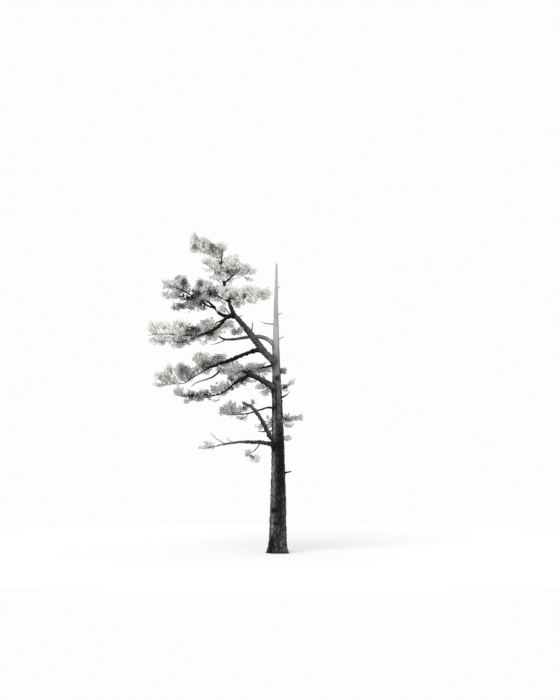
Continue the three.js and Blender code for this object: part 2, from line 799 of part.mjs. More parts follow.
const cutters = [trunkCutter];
const solids = [trunk];
for (const name of Object.keys(LIMBS)) {
  const cut = cutters.reduce((solid, cutter) => solid.subtract(cutter), limbSolid(name, 0));
  const limb = tidied(withDeadTwigs(name, cut));
  cutters.push(limbSolid(name, GAP));
  solids.push(limb);
  pine.add(namedMesh(name, limb, COLOURS.limb, 0.9));
}
for (const name of Object.keys(MASSES)) {
  const mass = massSolid(name, solids);
  solids.push(mass);
  pine.add(namedMesh(name, mass, needleColour(MASSES[name].tone), 0.8));
}

export default pine;
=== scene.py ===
"""The looks of a wind-blown pine: bark in relief on its wood, and needles in brushes on its twigs.

The limbs and the foliage follow the same rule and the same sizes as the solids, in millimetres and degrees.
Headings are seen from above: 0 is +X (windward), 180 is -X (lee), 270 is -Y (the front).
"""
import math
from collections import namedtuple
import bpy
import numpy as np
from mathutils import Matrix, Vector


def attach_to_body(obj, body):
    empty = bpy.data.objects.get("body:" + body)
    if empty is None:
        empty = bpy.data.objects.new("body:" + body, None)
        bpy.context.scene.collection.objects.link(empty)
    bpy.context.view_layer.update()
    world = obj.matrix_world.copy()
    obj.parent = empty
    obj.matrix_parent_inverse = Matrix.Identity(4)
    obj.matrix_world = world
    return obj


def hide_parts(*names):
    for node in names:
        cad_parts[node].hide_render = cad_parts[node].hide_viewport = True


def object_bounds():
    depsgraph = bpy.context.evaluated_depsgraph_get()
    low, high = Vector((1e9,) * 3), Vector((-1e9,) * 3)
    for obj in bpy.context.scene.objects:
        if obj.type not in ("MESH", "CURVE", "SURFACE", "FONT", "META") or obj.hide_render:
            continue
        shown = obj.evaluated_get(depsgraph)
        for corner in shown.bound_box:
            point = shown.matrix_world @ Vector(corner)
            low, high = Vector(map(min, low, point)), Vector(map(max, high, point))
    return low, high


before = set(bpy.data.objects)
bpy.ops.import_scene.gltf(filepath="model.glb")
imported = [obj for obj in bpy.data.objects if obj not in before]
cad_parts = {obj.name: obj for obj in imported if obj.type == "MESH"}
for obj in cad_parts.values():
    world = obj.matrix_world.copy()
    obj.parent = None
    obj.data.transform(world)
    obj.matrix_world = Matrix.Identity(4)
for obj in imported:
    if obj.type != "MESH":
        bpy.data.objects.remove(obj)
CAD_BOX = [list(corner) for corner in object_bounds()]
MM = 0.001
UP = np.array([0.0, 0.0, 1.0])

# The camera, in metres. It looks along +Y at this height.
CAMERA = {"distance": 90.0, "east": 0.078, "height": 6.32, "lens": 148.6}

# Trunk
TRUNK_HEIGHT = 9000
TRUNK_FOOT_RADIUS = 276
TRUNK_TIP_RADIUS = 27
TRUNK_SWAY = {"east": 28, "east_wave": 4700, "north": 20, "north_wave": 3900}
TRUNK_LEAN = -22
FLARE_HEIGHT = 170
FLARE = 22
# Roots that swell out of the foot: (heading, extra radius at the ground).
ROOTS = [(318, 150), (28, 55), (100, 85), (178, 55), (245, 75)]
ROOT_SHARPNESS = 7
SPIRE_BREAK = 25
SPIRE_BREAK_HEADING = 10

# How much a limb thickens at its foot, as a share of its radius, and over how many radii.
COLLAR = 0.3
COLLAR_LENGTH = 1.5
LIMB_STEP = 100
FEWEST_STEPS = 6

# Limbs: what each grows from and where (a share of that limb's length, or a height on the trunk), how long
# it is, how steeply it rises and where it heads at even steps along it, its radius at both ends, its bark.
LIMB_ROWS = {
    "leader": ("trunk", 5950, 2100, [30, 55, 50, 45], [185, 195], 112, 68, "bough_bark"),
    "leader_top": ("leader", 0.98, 1680, [75, 70, 80], [175, 110], 60, 26, "dark_bark"),
    "upper_bough": ("leader", 0.95, 1030, [-15, 5, 55, 35], [155, 145, 200], 54, 34, "black_bark"),
    "upper_outer": ("upper_bough", 0.76, 1270, [10, 35, 25], [140, 180], 30, 17, "black_bark"),
    "upper_spur": ("upper_bough", 0.14, 200, [70, 50], [150, 170], 20, 14, "dark_bark"),
    "second_bough": ("leader", 0.93, 1700, [0, -50, -15, -30], [215, 195], 56, 30, "black_bark"),
    "second_outer": ("second_bough", 0.78, 970, [-5, 5], [210, 195], 24, 15, "black_bark"),
    "second_rise": ("second_bough", 0.3, 570, [10, -25], [105, 130], 24, 17, "black_bark"),
    "crossing_bough": (
        "trunk", 6400, 2220, [50, 25, -5, -10, 0, 65], [145, 165, 155], 74, 24, "pale_bark",
    ),
    "third_bough": ("leader", 0.277, 1480, [-5, -20, -25, -10], [175, 170], 64, 46, "black_bark"),
    "third_fork": ("third_bough", 0.96, 500, [-30, 5], [150, 170], 38, 26, "black_bark"),
    "third_outer": ("third_fork", 0.6, 760, [-25, -30], [150, 160], 24, 17, "dark_bark"),
    "third_drop": (
        "third_bough", 0.93, 1320, [-80, -43, -20, -15, -45], [250, 195, 200], 34, 10, "dark_bark",
    ),
    "fourth_bough": ("trunk", 5090, 1070, [35, 20], [195, 190], 100, 66, "fading_dark_bark"),
    "fourth_left": ("fourth_bough", 0.95, 1090, [-40, -20, -45, -20], [215, 195], 52, 27, "black_bark"),
    "fourth_outer": ("fourth_left", 0.76, 780, [-30, -5], [225, 195], 24, 16, "black_bark"),
    "fourth_up": ("fourth_bough", 0.96, 440, [25, 0], [120, 135], 42, 27, "black_bark"),
    "back_bough": ("trunk", 5890, 700, [-15, -5], [125, 135], 40, 27, "black_bark"),
    "broken_limb": ("trunk", 3330, 1920, [35, 60, 55, 15], [225, 195], 72, 42, "fading_bark"),
    "broken_spur": ("broken_limb", 0.84, 170, [50, 60], [60, 20], 18, 13, "dark_bark"),
    "fifth_bough": ("trunk", 4445, 1310, [35, -20, -15, 0], [160, 180], 34, 19, "dark_bark"),
    "low_bough": ("trunk", 3365, 2010, [10, 5, -5, -15], [195, 190], 70, 17, "fading_bark"),
    "low_twig": ("low_bough", 0.29, 570, [-45, -25], [250, 210], 20, 12, "dark_bark"),
    "crown_left_bough": ("leader_top", 0.72, 330, [35, 30], [225, 210], 24, 16, "dark_bark"),
    "crown_right_bough": ("leader_top", 0.58, 410, [30, 40], [55, 20], 28, 19, "black_bark"),
    "shelf_right_bough": ("leader_top", 0.25, 340, [80, -5], [-50, 30], 34, 24, "black_bark"),
    "shelf_left_bough": ("leader_top", 0.22, 540, [15, 25], [135, 130], 32, 22, "black_bark"),
    "mid_spur": ("leader", 0.68, 420, [-5, -5], [260, 230], 18, 12, "dark_bark"),
}
Limb = namedtuple("Limb", "start at length rise heading root tip bark")
LIMBS = {name: Limb(*row) for name, row in LIMB_ROWS.items()}

# Bare dead twigs: (limb, where on it, length, rise, heading, radius).
DEAD_TWIGS = [
    ("trunk", 8220, 130, 35, 5, 12),
    ("trunk", 7410, 150, 15, 350, 14),
    ("trunk", 7120, 400, 4, 176, 18),
    ("trunk", 6630, 200, 22, 8, 16),
    ("trunk", 4770, 290, 26, 352, 34),
    ("trunk", 2480, 250, 6, 10, 36),
    ("trunk", 3830, 480, -8, 168, 26),
    ("leader", 0.57, 310, 76, 350, 22),
    ("leader", 0.9, 160, 14, 10, 15),
    ("crossing_bough", 0.82, 480, -24, 190, 16),
    ("third_outer", 0.92, 180, -62, 190, 9),
    ("low_bough", 0.84, 560, 30, 176, 10),
    ("low_bough", 0.7, 260, 26, 184, 11),
    ("fifth_bough", 0.72, 330, -40, 192, 10),
    ("fifth_bough", 0.85, 170, -66, 170, 8),
]
# Thinner ones, which only the looks have.
THIN_TWIGS = [
    ("crown_right_bough", 0.5, 560, 12, 12, 8),
    ("upper_bough", 0.12, 420, 14, 182, 9),
    ("shelf_right_bough", 0.9, 700, -12, 340, 7),
    ("upper_outer", 0.5, 380, 26, 150, 8),
    ("third_bough", 0.97, 480, -20, 196, 8),
    ("fourth_outer", 0.6, 420, -8, 190, 8),
]
# Half way along, a dead twig turns by "bend", (rise, heading). It thins from the first share of its radius
# to the second, is knobbly, and tapers over its last part.
DEAD_TWIG = {
    "bend": (12, 14), "thins": (1.15, 0.5), "knobs": 0.22, "taper": 0.8, "taper_from": 0.8,
    "taper_over": 0.2, "rings": 14, "sides": 7,
}
# The twiglets off a dead twig: how far apart, how long beside the twig, which way, and how thick beside it.
TWIGLET = {
    "spacing": 120, "first": 0.6, "length": (0.12, 0.22), "turn": (35, 65), "lift": (-0.2, 0.6),
    "knee": 0.5, "rise": 0.12, "thins": (0.42, 0.3, 0.12), "sides": 4, "seed": 77,
}

# Foliage masses: what each grows from (the tip of a bough, or a height on the trunk), how pale its needles
# are, from 0 to 1, its seed, where its stem ends, and its space: one or more lobes, [east, north, up, half
# length, half width, half height]. The stem's end and the lobes are measured from the stem's foot.
MASS_ROWS = {
    "crest": ("leader_top", 0.88, 9, [-860, -160, 830], [
        [-700, -160, 540, 340, 380, 400], [-150, 190, 390, 350, 380, 290]]),
    "crown_left": ("crown_left_bough", 0.88, 21, [-420, -280, 290], [
        [-170, -200, 190, 340, 440, 270], [80, -130, -200, 300, 360, 140]]),
    "crown_right": ("crown_right_bough", 0.95, 23, [520, 200, 300], [
        [0, 130, 380, 510, 640, 390], [530, 180, 200, 250, 380, 200]]),
    "shelf_right": ("shelf_right_bough", 0.93, 47, [1030, 140, 90], [
        [-130, -170, 140, 460, 620, 270], [670, 80, 60, 460, 640, 270], [60, -230, -200, 240, 400, 200]]),
    "shelf_left": ("shelf_left_bough", 0.8, 14, [-700, 420, 420], [[-420, 290, 220, 430, 740, 340]]),
    "upper_pad": ("upper_bough", 0.56, 3, [-920, -520, 30], [
        [-520, -330, 90, 440, 620, 240], [-800, -450, -90, 360, 420, 160]]),
    "upper_tip": ("upper_outer", 0.72, 13, [-470, 150, 180], [
        [-260, 80, 60, 410, 560, 350], [40, 240, 290, 240, 400, 240]]),
    "upper_inner": ("upper_spur", 0.85, 20, [-170, 100, 60], [[-60, 30, 60, 210, 300, 150]]),
    "second_main": ("second_bough", 0.74, 44, [-500, -210, -80], [
        [-390, -60, 180, 360, 560, 400], [60, 0, 230, 370, 620, 370]]),
    "second_tip": ("second_outer", 0.9, 15, [-740, -100, -20], [
        [-470, 70, 200, 430, 480, 240], [-430, -120, -170, 430, 440, 190]]),
    "second_inner": ("second_rise", 0.74, 23, [-350, -70, -60], [
        [-200, -70, -80, 320, 500, 300], [320, 170, -60, 360, 440, 210], [-80, -100, -370, 220, 340, 160]]),
    "crossing_pad": ("crossing_bough", 0.66, 11, [-520, 450, 170], [[-310, 340, 140, 330, 500, 240]]),
    "mid_tuft": ("mid_spur", 0.55, 1, [-220, -200, -80], [[-70, -120, -70, 240, 280, 140]]),
    "third_pad": ("third_fork", 0.82, 2, [-270, 140, 300], [
        [-80, 70, 160, 380, 620, 370], [460, 120, 310, 250, 340, 180]]),
    "third_tip": ("third_outer", 0.7, 4, [-1090, 280, -200], [
        [-270, 30, 220, 330, 520, 310], [-790, 200, 80, 420, 520, 310]]),
    "fourth_pad": ("fourth_up", 0.66, 52, [-540, 250, 130], [
        [-300, 130, 80, 500, 680, 270], [-40, -150, -270, 370, 380, 200]]),
    "back_pad": ("back_bough", 0.55, 20, [-460, 810, -10], [[-140, 560, -20, 440, 640, 220]]),
    "fourth_out": ("fourth_left", 0.6, 17, [-290, -90, 200], [[20, -20, 150, 430, 500, 250]]),
    "fourth_tip": ("fourth_outer", 0.56, 41, [-750, -190, 60], [
        [-290, -90, 40, 460, 500, 210], [-890, -250, 150, 210, 320, 160]]),
    "fourth_under": (5310, 0.7, 28, [-600, 600, -180], [[-430, 440, -230, 310, 420, 180]]),
    "fifth_pad": ("fifth_bough", 0.7, 51, [-520, 90, 80], [[-210, 40, 200, 410, 520, 240]]),
    "broken_tuft": ("broken_spur", 0.7, 44, [40, 50, 80], [[20, 20, 40, 110, 180, 110]]),
    "low_tip": ("low_bough", 0.8, 9, [-460, -100, -20], [[-320, -80, 30, 240, 380, 180]]),
    "low_under": ("low_twig", 0.8, 9, [-180, -70, -30], [
        [-110, -50, 30, 180, 260, 130], [170, 30, -190, 160, 260, 160]]),
    "inner_tuft": (4020, 0.65, 37, [-620, 330, 120], [[-440, 250, 80, 280, 380, 210]]),
    "right_high_tuft": (5580, 0.5, 20, [280, 170, 120], [[230, 140, 90, 140, 220, 120]]),
    "right_mid_tuft": (5050, 0.6, 7, [460, -130, 280], [[350, -110, 170, 240, 320, 190]]),
    "right_spray": (3990, 0.6, 52, [750, 30, 310], [[490, 0, 180, 360, 380, 210]]),
    "right_low_tuft": (3490, 0.8, 9, [370, 70, 110], [[310, 60, 90, 140, 200, 100]]),
}
Mass = namedtuple("Mass", "start tone seed end lobes")
MASSES = {name: Mass(*row) for name, row in MASS_ROWS.items()}

# Seen from the front, sky shows through the crown here: [east, up, half width, half height].
OPENINGS = [
    [-2390, 10010, 170, 150], [-2180, 9930, 140, 100], [-1990, 9780, 150, 110], [-2190, 8940, 260, 75],
    [-1950, 8670, 200, 80], [-1620, 9340, 130, 90], [-1000, 9210, 190, 160], [-710, 9000, 140, 120],
    [-1200, 8400, 230, 110], [-480, 8350, 170, 70], [-1960, 8410, 90, 80], [-1540, 7600, 120, 110],
    [-2710, 8530, 90, 160], [-3440, 8180, 190, 60], [-3020, 7835, 260, 55], [-2850, 7550, 120, 50],
    [-3600, 6925, 190, 75], [-3470, 6800, 190, 55], [-4000, 6790, 90, 90], [-2590, 7180, 120, 90],
    [-2580, 6560, 160, 60], [-1880, 7190, 160, 40], [-1560, 6980, 130, 100], [-1280, 7100, 60, 140],
    [-980, 6820, 120, 110], [-2260, 6330, 220, 60], [-2010, 6250, 80, 90], [-1760, 6300, 220, 90],
    [-2630, 5890, 90, 80], [-3660, 5760, 150, 110], [-3270, 5550, 70, 110], [-2790, 5920, 130, 60],
    [-3720, 5360, 120, 50], [-2690, 5390, 160, 70], [-3040, 5250, 190, 50], [-3400, 5170, 160, 40],
    [-2890, 4970, 80, 140], [-3280, 4950, 50, 90], [-3080, 4830, 190, 60], [-2540, 5090, 110, 60],
    [-2020, 5300, 120, 80], [-1650, 5510, 80, 60], [-1920, 4830, 110, 60], [-1540, 4930, 70, 80],
    [-1400, 5000, 120, 70], [-610, 6000, 280, 70], [-480, 5100, 100, 70], [-630, 5020, 80, 80],
    [-360, 5370, 120, 60], [-650, 4810, 130, 140], [-1880, 4490, 60, 80], [-1620, 4230, 220, 45],
    [-1750, 4660, 90, 70], [-1230, 4640, 60, 70],
    [-600, 4080, 70, 110], [-360, 4100, 110, 70], [-480, 4240, 100, 80], [-1090, 3100, 90, 90],
    [-790, 3000, 70, 130], [-2380, 3430, 90, 100], [-2270, 3210, 190, 40], [230, 5350, 150, 80],
    [330, 5650, 50, 120], [440, 5130, 110, 120], [560, 4350, 190, 60], [640, 4070, 190, 70],
    [-2960, 4900, 100, 50], [-260, 5900, 100, 70], [-650, 4390, 80, 45],
]
# Small tufts that fill out the masses' edges, seen from the front, in the same form. A fifth value says how
# far back a tuft is.
TUFTS = {
    "crest": [
        [-2620, 9960, 90, 150], [-2330, 9850, 90, 70], [-2170, 9760, 80, 60], [-1670, 9590, 110, 120],
        [-2670, 9460, 80, 80], [-2760, 9700, 70, 60],
    ],
    "crown_left": [
        [-2300, 9130, 110, 80], [-2040, 9140, 100, 80], [-1780, 8450, 60, 100], [-1980, 8550, 90, 40],
        [-1640, 8560, 90, 90],
    ],
    "crown_right": [
        [-1320, 9240, 150, 110], [-1600, 9180, 130, 80], [-900, 9010, 70, 70], [-700, 8830, 110, 90],
        [-830, 8500, 110, 70], [-1520, 8450, 90, 80], [-1760, 8890, 140, 150, -160],
    ],
    "shelf_right": [
        [-1170, 8290, 110, 70], [-880, 8300, 110, 70], [-620, 8270, 70, 70], [-210, 8080, 80, 110],
        [-280, 7960, 70, 60], [-780, 7830, 120, 80], [-1100, 7780, 130, 90], [-1290, 7640, 120, 100],
        [-1660, 8080, 130, 150, -260],
    ],
    "shelf_left": [
        [-2460, 8510, 100, 110], [-2620, 8220, 90, 90], [-1880, 7890, 160, 50], [-1650, 7790, 70, 60],
    ],
    "upper_pad": [[-3220, 7620, 110, 80], [-2710, 7560, 130, 70], [-2350, 7620, 160, 70]],
    "upper_tip": [
        [-3540, 8470, 120, 110], [-3400, 7980, 220, 120], [-3590, 8080, 70, 60], [-2850, 8650, 110, 80],
        [-2790, 8400, 70, 130], [-2720, 8230, 110, 70], [-3340, 7950, 80, 60],
    ],
    "upper_inner": [[-1710, 7530, 120, 70], [-1860, 7600, 80, 60]],
    "second_main": [
        [-3130, 7240, 140, 90], [-2940, 7200, 130, 90], [-2790, 6490, 80, 70], [-3140, 6440, 160, 70],
    ],
    "second_tip": [
        [-3910, 7170, 190, 100], [-4060, 7080, 90, 80], [-3600, 7170, 160, 80], [-3420, 7080, 90, 150],
        [-4020, 6630, 120, 70], [-3770, 6520, 160, 80],
    ],
    "second_inner": [[-2380, 7280, 90, 60], [-1770, 6850, 70, 80], [-1400, 7150, 80, 130]],
    "crossing_pad": [[-2090, 6650, 200, 80], [-2290, 6500, 140, 60]],
    "third_pad": [
        [-2570, 5750, 120, 110], [-2310, 5590, 220, 90], [-2400, 6280, 80, 70], [-1640, 6090, 120, 90],
    ],
    "third_tip": [
        [-3380, 5830, 120, 120], [-3100, 5770, 80, 90], [-3010, 5930, 130, 90], [-3740, 5620, 120, 60],
        [-3800, 5270, 130, 90], [-2540, 5680, 120, 90],
    ],
    "fourth_pad": [
        [-740, 5920, 170, 110], [-400, 5600, 150, 60], [-1070, 5210, 140, 90], [-1310, 5170, 60, 70],
        [-720, 5330, 90, 50], [-1690, 5480, 90, 110],
    ],
    "fourth_out": [[-1930, 4750, 120, 80], [-1680, 5340, 90, 70]],
    "fourth_tip": [
        [-2770, 5030, 120, 70], [-2480, 5020, 110, 60], [-2290, 5120, 100, 70], [-2870, 4740, 110, 80],
    ],
    "fourth_under": [[-390, 4920, 120, 60], [-620, 5150, 90, 70]],
    "fifth_pad": [
        [-1000, 4560, 140, 120], [-1680, 4580, 120, 80], [-1440, 4710, 160, 80], [-1150, 4190, 90, 70],
        [-980, 4200, 70, 120],
    ],
    "low_tip": [[-2270, 3460, 130, 60], [-2390, 3290, 90, 60]],
    "low_under": [[-920, 3240, 150, 70], [-840, 2840, 80, 70], [-560, 2990, 80, 110]],
    "inner_tuft": [[-590, 3930, 150, 80], [-280, 3980, 80, 60]],
    "right_mid_tuft": [[490, 5390, 90, 80]],
    "right_spray": [[740, 4310, 100, 80], [380, 3980, 160, 50]],
}
# Painted shade, where the foliage is painted darker, seen from the front: [east, up, half width, half
# height, how much darker], and how sharp the edges of these places are.
SHADE_EDGE = 3
SHADES = [
    [-2010, 9490, 110, 120, 1.05], [-2570, 9520, 110, 90, 0.6], [-2540, 9780, 80, 150, 0.3],
    [-1780, 9080, 100, 110, 1.1], [-1510, 8760, 150, 70, 1.05], [-1280, 8780, 90, 45, 0.9],
    [-1570, 8610, 70, 60, 0.5], [-2010, 8580, 120, 60, 0.3], [-2010, 8090, 170, 100, 1.0],
    [-2410, 8360, 110, 120, 0.65], [-2540, 8100, 240, 100, 0.65], [-1450, 7900, 90, 120, 1.0],
    [-1000, 7960, 100, 90, 1.0], [-450, 8070, 90, 60, 0.6], [-1260, 7790, 160, 110, 0.4],
    [-2910, 8430, 100, 120, 0.9], [-3120, 8600, 90, 80, 0.7], [-2730, 7960, 250, 130, 0.8],
    [-2980, 7990, 130, 90, 0.7], [-2300, 7770, 140, 110, 0.95], [-3010, 7690, 120, 80, 0.5],
    [-3220, 7620, 80, 60, 0.6], [-2630, 6940, 270, 120, 0.85], [-2990, 7090, 80, 80, 0.5],
    [-3570, 6570, 80, 80, 0.6], [-2980, 6570, 190, 80, 0.45], [-2100, 6840, 140, 100, 0.8],
    [-2230, 5830, 150, 140, 1.05], [-2930, 5700, 160, 170, 0.4], [-1850, 6090, 190, 90, 0.5],
    [-890, 5580, 120, 120, 0.9], [-1110, 5390, 140, 120, 0.75], [-1390, 5200, 160, 150, 0.75],
    [-1540, 5060, 190, 80, 0.6], [-2290, 4920, 240, 80, 0.65], [-2660, 4890, 190, 80, 0.5],
    [-1000, 4520, 90, 80, 1.0], [-1360, 4350, 160, 50, 0.5], [230, 5140, 70, 70, 0.9],
    [310, 4160, 120, 70, 0.45], [-1480, 5370, 120, 100, 0.6], [-2540, 5670, 120, 80, 0.45],
    [-1760, 8030, 90, 80, 0.5],
]

# Limbs and stems that show through the foliage, and from where to where along them. Each is checked at so
# many points, and no shoot in front of it comes this close to its bark.
BARE_LIMBS = {
    "second_bough": (0, 1), "second_outer": (0, 0.6), "third_bough": (0, 0.9), "third_fork": (0.45, 1),
    "third_outer": (0, 0.6), "fourth_left": (0, 1), "fourth_outer": (0, 0.7), "upper_bough": (0, 0.5),
    "upper_outer": (0.8, 1), "crown_right_bough": (0, 1), "leader_top": (0, 0.1), "fifth_bough": (0.3, 1),
    "fourth_up": (0, 0.6),
}
BARE_STEMS = {
    "crest": (0, 0.5), "upper_tip": (0, 0.8), "second_tip": (0, 0.5), "third_tip": (0, 0.9),
    "low_tip": (0, 0.4),
}
BARE_POINTS = 40
BARE_EDGE = 34

# The same source of random numbers as in the solids, and the step from one mass's seed to the next.
DICE = {"factor": 1664525, "step": 1013904223, "range": 2 ** 32}
SEED_STEP = 7919

# Twigs and sprays. Each mass grows twice, first the solids' own sprays and then finer ones between them:
# what its seed is raised by, how densely its twigs stand, how long its sprays are beside the solids' own,
# and how far apart they stay, as a share of their length.
GROWTH = [(0, 2.8, 1, 0.54), (4001, 8.0, 0.72, 0.34)]
# How deep a tuft is, how long its sprays are, how densely its twigs stand and how far apart its sprays are.
TUFT = {"depth": 170, "spray": 180, "density": 3.0, "spacing": 0.34}
TUFT_SHARES = np.linspace(0, 1, 7)
FEWEST_TWIGS = 3
GOLDEN_ANGLE = 137.508
HIGHEST_TWIG = 0.92
LOWEST_TWIG = -0.7
TWIG_DEPTH = (0.88, 1)
TWIG_SWEEP = 0.3
TWIG_FEET = (0.06, 0.92)
TWIG_BEND = 0.45
TWIG_RUN_ON = 0.2
SHORTEST_TWIG = 0.35
TWIG_RADIUS = 9
TWIG_THINS = (1, 0.5)
TWIG_RINGS = 4
TWIG_SIDES = 5
STEM_SAMPLES = 12
STEM_TIP_RADIUS = 7
STEM_FOOT_ON_TRUNK = 16
STEM_ELBOW = 0.3
STEM_RINGS = 14
STEM_SIDES = 7
STEM_THINS = 0.6
LONGEST_SPRAY = 480
TIP_SPRAY = {"size": (0.85, 1.15), "lift": 0.35, "past": 0.92}
SIDE_SPRAY = {"at": (0.7, 0.45, 0.24), "size": (0.72, 0.96), "turn": (38, 58), "lift": (0.12, 0.42)}
STEM_SPRAY = {"spacing": 170, "size": 0.9, "turn": (40, 65), "lift": (0.1, 0.6)}
STEM_END_SPRAY = {"at": 0.97, "size": 0.8}
SPRAY_ROLL = (30, 75)
SPRAY_WIDTH = 0.9
# Where along a spray and a twig it is checked that they keep to their mass's space, and that space's edge.
SPRAY_CHECKS = (0.55, 0.8, 1)
TWIG_CHECK = 0.6
SPACE_EDGE = 1.12

# The shoots of a spray end where the solid's blade has its teeth: (along, out), with where each leaves the
# spray's middle line. Shares of the spray's length and width.
SHOOTS = [
    ((0.97, 0.0), 0.0), ((0.86, 0.36), 0.42), ((0.86, -0.36), 0.36),
    ((0.52, 0.5), 0.12), ((0.52, -0.5), 0.07),
]
SHOOT_SEED = 613
# How high the longest spray's shoots rise, with what share of it in the middle, and where they bend.
SHOOT_LIFT = {"height": 60, "middle": 0.5}
SHOOT_BEND = {"along": 0.55, "out": 0.42}
SHOOT_RADIUS = (3.8, 3.0, 0)
# A shoot carries needles from this share of its length to its end, and more of it on the middle shoot.
BRUSH_START = {"middle": 0.45, "side": 0.3}

# Needles. They turn round their shoot by the golden angle, and further from shoot to shoot. The angle that
# they stand off at falls from the brush's start to its end.
NEEDLE_SEED = 5
NEEDLE_LENGTH = (46, 80)
NEEDLE_SHARE = 0.21
NEEDLE_SIZES = (0.72, 1.0)
NEEDLE_WIDTH = 7.5
NEEDLE_FOLD = 0.3
NEEDLE_BELLY = 0.35
NEEDLES_PER_MM = 1.2
FEWEST_NEEDLES = 12
NEEDLE_TURN = {"shoot": 47, "jitter": 20}
NEEDLE_SPREAD = {"angles": (62, 12), "curve": 1.3, "jitter": 9}
NEEDLE_LIFT = 0.16
NEEDLE_SET_BACK = 0.02
NEEDLE_TILT = 0.3
# How far a shoot's end stays inside its tooth, as a share of the needles' length.
NEEDLE_OVERHANG = 0.75
# No shoot and no needle goes further past the solids' box than this, in millimetres.
SHOOT_PAST = 10
NEEDLE_PAST = 45
SHOOT_REACH = np.array(CAD_BOX) / MM + np.array([[-SHOOT_PAST], [SHOOT_PAST]])
NEEDLE_REACH = np.array(CAD_BOX) / MM + np.array([[-NEEDLE_PAST], [NEEDLE_PAST]])
MOST_TRIANGLES = 180000

# Bark in relief. Plates of bark stand between cracks, with small scales on the trunk's plates. "uneven" is
# how much plates differ in height. Sizes are in millimetres.
TRUNK_GRID = {"sides": 100, "ring": 17}
TRUNK_PLATES = {"columns": 15, "row": 230, "depth": 30, "uneven": 0.5, "seed": 11}
TRUNK_SCALES = {"columns": 34, "row": 62, "depth": 9, "uneven": 0.8, "seed": 12}
# A limb's facets are about this wide and long. Its fewest and most sides, and its fewest rings.
LIMB_GRID = {"side": 13, "ring": 17, "sides": (7, 44), "fewest_rings": 8}
LIMB_PLATES = {"fewest": 3, "width": 55, "row": 75, "depth": 0.13, "least": 1.2, "uneven": 1.2}
# The plates' mean height, from 0 in a crack to 1, how wide their edges are, and how far they leave an even
# grid.
PLATE_LEVEL = 0.6
PLATE_EDGE = 0.32
CELL_JITTER = 0.75
# The trunk's cracks wander sideways in waves: (how far, as a share of a plate, wave length, start).
TRUNK_WANDER = [(0.25, 310, 0), (0.12, 97, 2)]
# Larger knobs along a limb. Over its last stretch the knobs fade out and the plates calm down to this share.
KNOB = {"row": 110, "columns": 2, "rise": 0.2, "level": 0.35, "seed": 100}
LIMB_CALM = 160
CALMEST_PLATES = 0.25
LIMB_ROUNDING = 0.97
# Bark is thick up to the first of these heights and thin from the second.
BARK_THINS = (4300, 6300)
SPIRE_RELIEF = 0.9
# Where the trunk is thin, its relief shrinks: to the least share, plus its radius as a share of this one.
THIN_TRUNK = {"radius": 200, "least": 0.3}
SPLINTER = 34
SNAP_LENGTH = 260
# The trunk swells round the foot of each limb, by a share of the limb's radius and over so many radii. The
# swelling is longer than it is wide, and dark, most of all round limbs of at least this radius.
KNOT = {"rise": 0.4, "spread": 1.5, "height": 0.8, "dark": 0.92, "core": 1.3, "radius": 30}

# How pale the trunk's bark is at each height, from 0, black, to 1, bleached.
TRUNK_TONE = [
    (0, 0.42), (1500, 0.41), (3300, 0.4), (4300, 0.56), (5600, 0.64), (6400, 0.82), (7400, 0.95),
    (9000, 0.98),
]
# Streaks down the trunk: (heading, degrees, lowest, highest, how much paler), fading at both ends. They are
# partly the bark's own tone and partly painted light and shade: paler on the front left, where the sun
# falls, and dark at the foot.
TRUNK_STREAKS_AND_PAINTED_LIGHT = [
    (292, 36, 1700, 4300, -0.36), (282, 16, -900, 2300, -0.16), (228, 20, 200, 4400, 0.26),
    (200, 16, 3500, 5900, -0.42), (262, 7, 3900, 5300, -0.4), (230, 17, -900, 800, -0.5),
    (345, 14, 600, 3900, 0.08), (338, 15, 3900, 6000, -0.42),
]
STREAK_END = 500
STREAK_WANDER = 12
# Dark scars where small limbs broke away long ago: (height, heading, radius).
SCARS = [
    (5250, 222, 80), (4510, 224, 95), (3290, 226, 80), (3400, 255, 60), (1330, 262, 70), (930, 250, 60),
    (5440, 275, 80), (1320, 232, 80),
]
SCAR_DARKNESS = 0.9
# How pale each kind of bark is at the limb's foot and at its end, and how rough it is.
BARKS = {
    "pale_bark": (0.84, 0.5, 0.9), "bough_bark": (0.58, 0.4, 1.4), "fading_bark": (0.3, 0.64, 2.4),
    "fading_dark_bark": (0.58, 0.22, 1.4), "dark_bark": (0.3, 0.22, 2.0), "black_bark": (0.08, 0.06, 2.7),
}
# Painted shade: how much darker a limb's underside is painted.
UNDERSIDE_PAINTED_SHADE = 0.32
# How much one plate differs in tone from the next.
PLATE_TONES = {"trunk": 0.14, "limb": 0.1}
# How dark the cracks between scales are painted, as painted shade, where the bark is thin and where it is
# thick.
SCALE_CRACKS = (0.3, 0.75)
DEAD_TWIG_TONE = {"pale": 0.5, "dark": 0.06}
# A spray's tone: how it changes with its height in the lobes that it is in or near, paler high up as painted
# light, at random, and from shoot to shoot.
TONE = {"base": 0.16, "high": 0.1, "near": 1.3, "spread": 0.06, "shoot": 0.03}
# Painted shade: needles are painted darker round the inner part of a mass's stem; depth away from the front
# counts for less.
PAINTED_SHADE_ROUND_STEM = {"darkness": 0.3, "reach": 110, "depth": 0.5, "along": 0.75, "points": 24}
# How pale the wood in a mass is, in the darkest and in the palest mass.
TWIG_TONE = {"stem": (0.05, 0.8), "twig": (0.25, 0.75), "shoot": (0.5, 0.97)}

# Looks: linear greys with a trace of green or brown.
BARK_RAMP = [(0.0, 0.006), (0.25, 0.028), (0.5, 0.1), (0.75, 0.25), (1.0, 0.5)]
TWIG_RAMP = [(0.0, 0.01), (0.25, 0.05), (0.5, 0.17), (0.75, 0.42), (1.0, 0.8)]
BARK_TINT = (1.0, 0.985, 0.965)
# Painted shade: how much darker the bark is painted in its cracks.
CRACK_SHADE = 0.3
